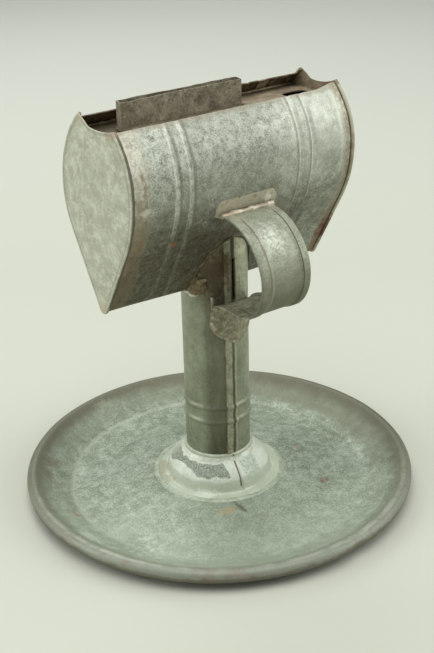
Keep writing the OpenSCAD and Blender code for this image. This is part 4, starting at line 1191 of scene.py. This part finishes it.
def addStrap(tin):
    s = strap
    places = strapPlaces()
    hemIn = s["half"] - s["hemW"]
    # Half of the outline across the strap, from the middle: (share or distance, face, height)
    steps = [0, 0.15, 0.3, 0.45, 0.58]
    rings = []
    for i, (u, z, half, hem, wrap) in enumerate(places):
        a, b = places[max(0, i - 1)], places[min(len(places) - 1, i + 1)]
        d = Vector((b[0] - a[0], b[1] - a[1])).normalized()
        left = Vector((-d.y, d.x))
        k = half / s["half"]
        top = [(c * half, s["t"] / 2) for c in steps]
        lift = hem * sheetT
        for x, h in ((hemIn - 1.1, 0), (hemIn - 0.45, 0.12), (hemIn - 0.1, 0.55), (hemIn + 0.2, 0.9), (hemIn + 0.6, 1.0),
                     (s["half"] - 1.4, 1.05), (s["half"] - 0.5, 0.95), (s["half"] - 0.12, 0.7)):
            top.append((x * k, s["t"] / 2 + lift * h))
        edge = [(half, s["t"] / 2 + lift * 0.2), (half, -s["t"] / 2 + 0.2), (half - 0.15, -s["t"] / 2)]
        under = [(c * half, -s["t"] / 2) for c in (0.85, 0.6, 0.3, 0)]
        right = top + edge + under
        outline = right + [(-x, h) for x, h in right[-2:0:-1]]
        ring = []
        for x, h in outline:
            bend = 0.35 * rough3(x * 0.5, u, z, 14, 2.5) * smooth(i, 14, 26) * (1 - wrap)
            q = Vector((u, z)) + left * (h + bend)
            depth = q.x + wrap * (math.sqrt(max(0.0, q.x ** 2 - x ** 2)) - q.x)
            ring.append((x, -depth, q.y))
        rings.append(ring)
    keep("strapHandle", "handle_strap", loftMesh(rings), [tin], 50)
    print("strap made")


# Solder seams, all by one tree: a wandering bead along a line

def seamTree():
    number = "NodeSocketFloat"
    sizes = {"Radius": (number, 0.7 * mm), "Swell": (number, 0.5), "Grain": (number, 1.5 * mm), "Seed": (number, 0.0),
             "Spacing": (number, 0.6 * mm), "Flatten": (number, 1.0), "Sides": ("NodeSocketInt", 10),
             "Material": ("NodeSocketMaterial", None)}
    tree, start, end = groupTree("solderSeam", sizes)
    o = start.outputs

    def maths(kind, a, b=0.0):
        return addNode(tree, "ShaderNodeMath", {0: a, 1: b}, operation=kind).outputs[0]

    place = tree.nodes.new("GeometryNodeInputPosition").outputs[0]
    shift = addNode(tree, "ShaderNodeCombineXYZ", {"X": o["Seed"], "Y": o["Seed"], "Z": o["Seed"]})
    moved = addNode(tree, "ShaderNodeVectorMath", {0: place, 1: shift.outputs[0]}, operation="ADD")
    slow = addNode(tree, "ShaderNodeTexNoise", {"Vector": moved.outputs[0], "Scale": 160.0, "Detail": 3.0})
    curve = addNode(tree, "GeometryNodeMeshToCurve", {"Mesh": o["Geometry"]})
    even = addNode(tree, "GeometryNodeResampleCurve", {"Curve": curve.outputs[0], "Length": o["Spacing"]}, mode="LENGTH") \
        if hasattr(tree.nodes.new("GeometryNodeResampleCurve"), "mode") else None
    swell = maths("ADD", 1.0, maths("MULTIPLY", maths("SUBTRACT", slow.outputs["Fac"], 0.5), maths("MULTIPLY", o["Swell"], 3.0)))
    ring = addNode(tree, "GeometryNodeCurvePrimitiveCircle", {"Resolution": o["Sides"], "Radius": o["Radius"]}, mode="RADIUS")
    pipe = addNode(tree, "GeometryNodeCurveToMesh", {"Curve": even.outputs[0], "Profile Curve": ring.outputs[0], "Scale": swell,
                   "Fill Caps": True})
    fine = addNode(tree, "ShaderNodeTexNoise", {"Vector": moved.outputs[0], "Scale": maths("DIVIDE", 1.0, o["Grain"]),
                   "Detail": 2.0})
    normal = tree.nodes.new("GeometryNodeInputNormal").outputs[0]
    push = addNode(tree, "ShaderNodeVectorMath", {0: normal, "Scale": maths("MULTIPLY", maths("SUBTRACT",
                   fine.outputs["Fac"], 0.5), maths("MULTIPLY", o["Radius"], 1.1))}, operation="SCALE")
    bumpy = addNode(tree, "GeometryNodeSetPosition", {"Geometry": pipe.outputs[0], "Offset": push.outputs[0]})
    plain = addNode(tree, "GeometryNodeRealizeInstances", {"Geometry": bumpy.outputs[0]})
    painted = addNode(tree, "GeometryNodeSetMaterial", {"Geometry": plain.outputs[0], "Material": o["Material"]})
    tree.links.new(painted.outputs[0], end.inputs[0])
    return tree


def circlePath(r, z, n=120, wave=0.0):
    return [((r + wave * rough3(math.cos(2 * math.pi * i / n) * r, math.sin(2 * math.pi * i / n) * r, 0, 6, 1.0))
             * math.cos(2 * math.pi * i / n),
             (r + wave * rough3(math.cos(2 * math.pi * i / n) * r, math.sin(2 * math.pi * i / n) * r, 0, 6, 1.0))
             * math.sin(2 * math.pi * i / n), z) for i in range(n)]


def saddlePath():
    out = []
    for i in range(120):
        t = 2 * math.pi * i / 120
        r = 15.3
        y = r * math.sin(t)
        out.append((r * math.cos(t), y, sectionZ(y, 0.2) - 0.5))
    return out


def tubeSeamPath():
    out = []
    for x, y in tubeOutline(0.35, 1.0, 1.0):
        out.append((x, y, 173.4))
    return [q for i, q in enumerate(out) if i % 3 == 0]


def footPath():
    # Ragged solder down the foot's left side and under its round end
    s = strap
    middle = s["footLow"] + s["footHalf"]
    out = [(-s["footHalf"] + 0.3, z) for z in (97, 95, 93, 91, 89, 87)]
    out += [(s["footHalf"] * math.cos(math.radians(a)), middle + s["footHalf"] * math.sin(math.radians(a)))
            for a in range(184, 300, 8)]
    r = 15.0
    return [(x, -math.sqrt(r * r - min(abs(x), r) ** 2), z) for x, z in out]


seams = dict(
    # The saddle's seam takes the dark brown solder partly as painted shade under the font's bottom
    saddle=dict(node="saddle_solder", path=saddlePath, closed=True, radius=0.6, swell=0.8, seed=0.5, metal="brown"),
    tubeFoot=dict(node="wick_tube_solder", path=tubeSeamPath, closed=True, radius=0.6, swell=0.6, seed=0.7, metal="brown"),
    strapTop=dict(node="handle_top_solder", closed=False, radius=1.2, swell=0.7, seed=0.9, metal="pink",
                  path=lambda: spaced([(-13.2, -23.9, 137.3), (13.2, -23.9, 137.3)], 1.0)),
    strapFoot=dict(node="handle_foot_solder", path=footPath, closed=False, radius=0.7, swell=1.4, seed=1.3, metal="speckled"))


def addSeams(metals):
    tree = seamTree()
    for name, s in seams.items():
        points = s["path"]()
        edges = [(i, i + 1) for i in range(len(points) - 1)] + ([(len(points) - 1, 0)] if s["closed"] else [])
        metal = metals[s["metal"]]
        mesh = runTree(name, tree, points, edges, {"Radius": s["radius"] * mm, "Swell": s["swell"], "Seed": s["seed"],
                       "Material": metal})
        keep(name + "Solder", s["node"], mesh, [metal], 80)
    # Both long edges of the deck in one piece
    y, z = 17.7, 173.3
    points = [settle(x, side * y, z) for side in (-1, 1) for x in range(-54, 55, 3)]
    n = len(points) // 2
    edges = [(k + i, k + i + 1) for k in (0, n) for i in range(n - 1)]
    mesh = runTree("deckEdge", tree, points, edges, {"Radius": 0.8 * mm, "Swell": 0.7, "Seed": 2.0, "Material": metals["brown"]})
    keep("deckEdgeSolder", "deck_solder", mesh, [metals["brown"]], 80)
    print("solder seams made")


fillets = dict(
    collarNeck=dict(node="collar_neck_solder", outer=((15.1, 19.4), (15.4, 18.3), (15.8, 17.5), (16.7, 16.1)),
                    under=((16.2, 15.8), (15.2, 17.0), (14.6, 19.2)), wander=0.22, metal="white"),
    collarFloor=dict(node="collar_floor_solder", outer=((28.0, 4.58), (28.9, 4.95), (29.5, 4.5), (30.4, 4.02)),
                     under=((30.1, 3.85), (28.4, 4.2)), wander=0.25, metal="dull"))


def addFillets(metals):
    # Solder run into the corners round the collar, turned from a concave profile
    for name, f in fillets.items():
        profile = bezier(f["outer"], 10) + list(f["under"])
        rings = []
        for k in range(180):
            a = 2 * math.pi * k / 180
            ring = []
            for i, (r, z) in enumerate(profile):
                x, y = r * math.cos(a), r * math.sin(a)
                loose = f["wander"] * (rough3(x, y, z, 7, 3.0) + 0.5 * rough3(x, y, z, 2.2, 6.0)) if i <= 10 else 0
                ring.append((x + loose * math.cos(a), y + loose * math.sin(a), z + loose * 0.5 * (i > 0)))
            rings.append(ring)
        keep(name + "Solder", f["node"], loftMesh(rings, closed=True), [metals[f["metal"]]], 80)
    print("collar fillets made")


lump = dict(angle=-162, z=102.2, r=14.9, size=(5.6, 1.3, 4.4))


def addLump(brown):
    # Overheated blob of solder and flux where stem and font meet
    shell = bmesh.new()
    bmesh.ops.create_icosphere(shell, subdivisions=5, radius=1.0)
    t = math.radians(lump["angle"])
    middle = Vector((lump["r"] * math.cos(t), lump["r"] * math.sin(t), lump["z"]))
    out = Vector((math.cos(t), math.sin(t), 0))
    side = Vector((-out.y, out.x, 0))
    for v in shell.verts:
        q = v.co.copy()
        bump = 1 + 0.28 * rough3(q.x, q.y, q.z, 0.6, 4.0) + 0.2 * rough3(q.x, q.y, q.z, 0.22, 8.0)
        round_ = out * (-(q.x * bump * lump["size"][0]) ** 2 / 30)  # bends with the stem
        spot = middle + round_ + bump * (side * q.x * lump["size"][0] + out * q.y * lump["size"][1]
                                         + Vector((0, 0, q.z * lump["size"][2])))
        # It lies against the font's outside
        spot.z = min(spot.z, sectionZ(spot.y, 0.0) + 0.1)
        v.co = spot * mm
    bmesh.ops.recalc_face_normals(shell, faces=shell.faces)
    mesh = bpy.data.meshes.new("saddleLump")
    shell.to_mesh(mesh)
    shell.free()
    mesh.materials.append(brown)
    mesh.shade_smooth()
    piece = bpy.data.objects.new("saddleLump", mesh)
    scene.collection.objects.link(piece)
    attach(piece, "lamp")


def addFloor(paper):
    mesh = bpy.data.meshes.new("floor")
    r = surroundings["reach"]
    mesh.from_pydata([(r * math.cos(math.pi * i / 32), r * math.sin(math.pi * i / 32), 0) for i in range(64)], [],
                     [tuple(range(64))])
    mesh.materials.append(paper)
    floor = bpy.data.objects.new("floor", mesh)
    scene.collection.objects.link(floor)


def paintNode(node, material):
    piece = frame["nodes"][node]
    piece.data.materials.clear()
    piece.data.materials.append(material)


# The lamp, put together

scene.view_settings.view_transform = "Standard"
addCamera()
addLights()
addFloor(floorPaint())
sootySheet = sootyTin("tinSooty", (162, 154, 132), (116, 108, 90), (74, 66, 52), 0.5)
# Inner face of the font: soot, darkened further as painted shade for a deeper well
innerSheet = sootyTin("tinSootAndShade", (142, 124, 98), (74, 62, 44), (46, 38, 28), 0.45, wellMarks)
metals = dict(bright=solderMetal("solderBright", (214, 218, 202), (164, 168, 148), (188, 174, 146)),
              white=solderMetal("solderWhite", (232, 238, 226), (214, 221, 204), (204, 206, 182), 0.2),
              dull=solderMetal("solderDull", (184, 195, 174), (158, 170, 149), (196, 202, 182), 0.2),
              pink=solderMetal("solderPink", (232, 225, 208), (198, 186, 164), (160, 138, 112), 0.3),
              brown=solderMetal("solderBrown", (108, 96, 70), (78, 68, 48), (136, 124, 94), 0.2),
              lump=solderMetal("solderLump", (132, 116, 84), (88, 76, 52), (172, 160, 130), 0.2),
              speckled=solderMetal("solderSpeckled", (206, 198, 176), (120, 104, 78), (98, 80, 56), 0.3))
addPan(panTin())
addRimWire(ironWire())
addCollar(collarTin())
addStem(stemTin())
addFont(fontTin(), innerSheet)
capMetal = capTin()
addCap(-1, "left_end_cap", capMetal)
addCap(1, "right_end_cap", capMetal)
addTube(sootySheet)
addWick(wickCotton())
addStrap(strapTin())
addSeams(metals)
addFillets(metals)
addLump(metals["lump"])
addSettled("fontDeck", "font_deck", deckTin())
addSettled("leftCapSolder", "left_cap_solder", metals["brown"])
addSettled("rightCapSolder", "right_cap_solder", metals["brown"])
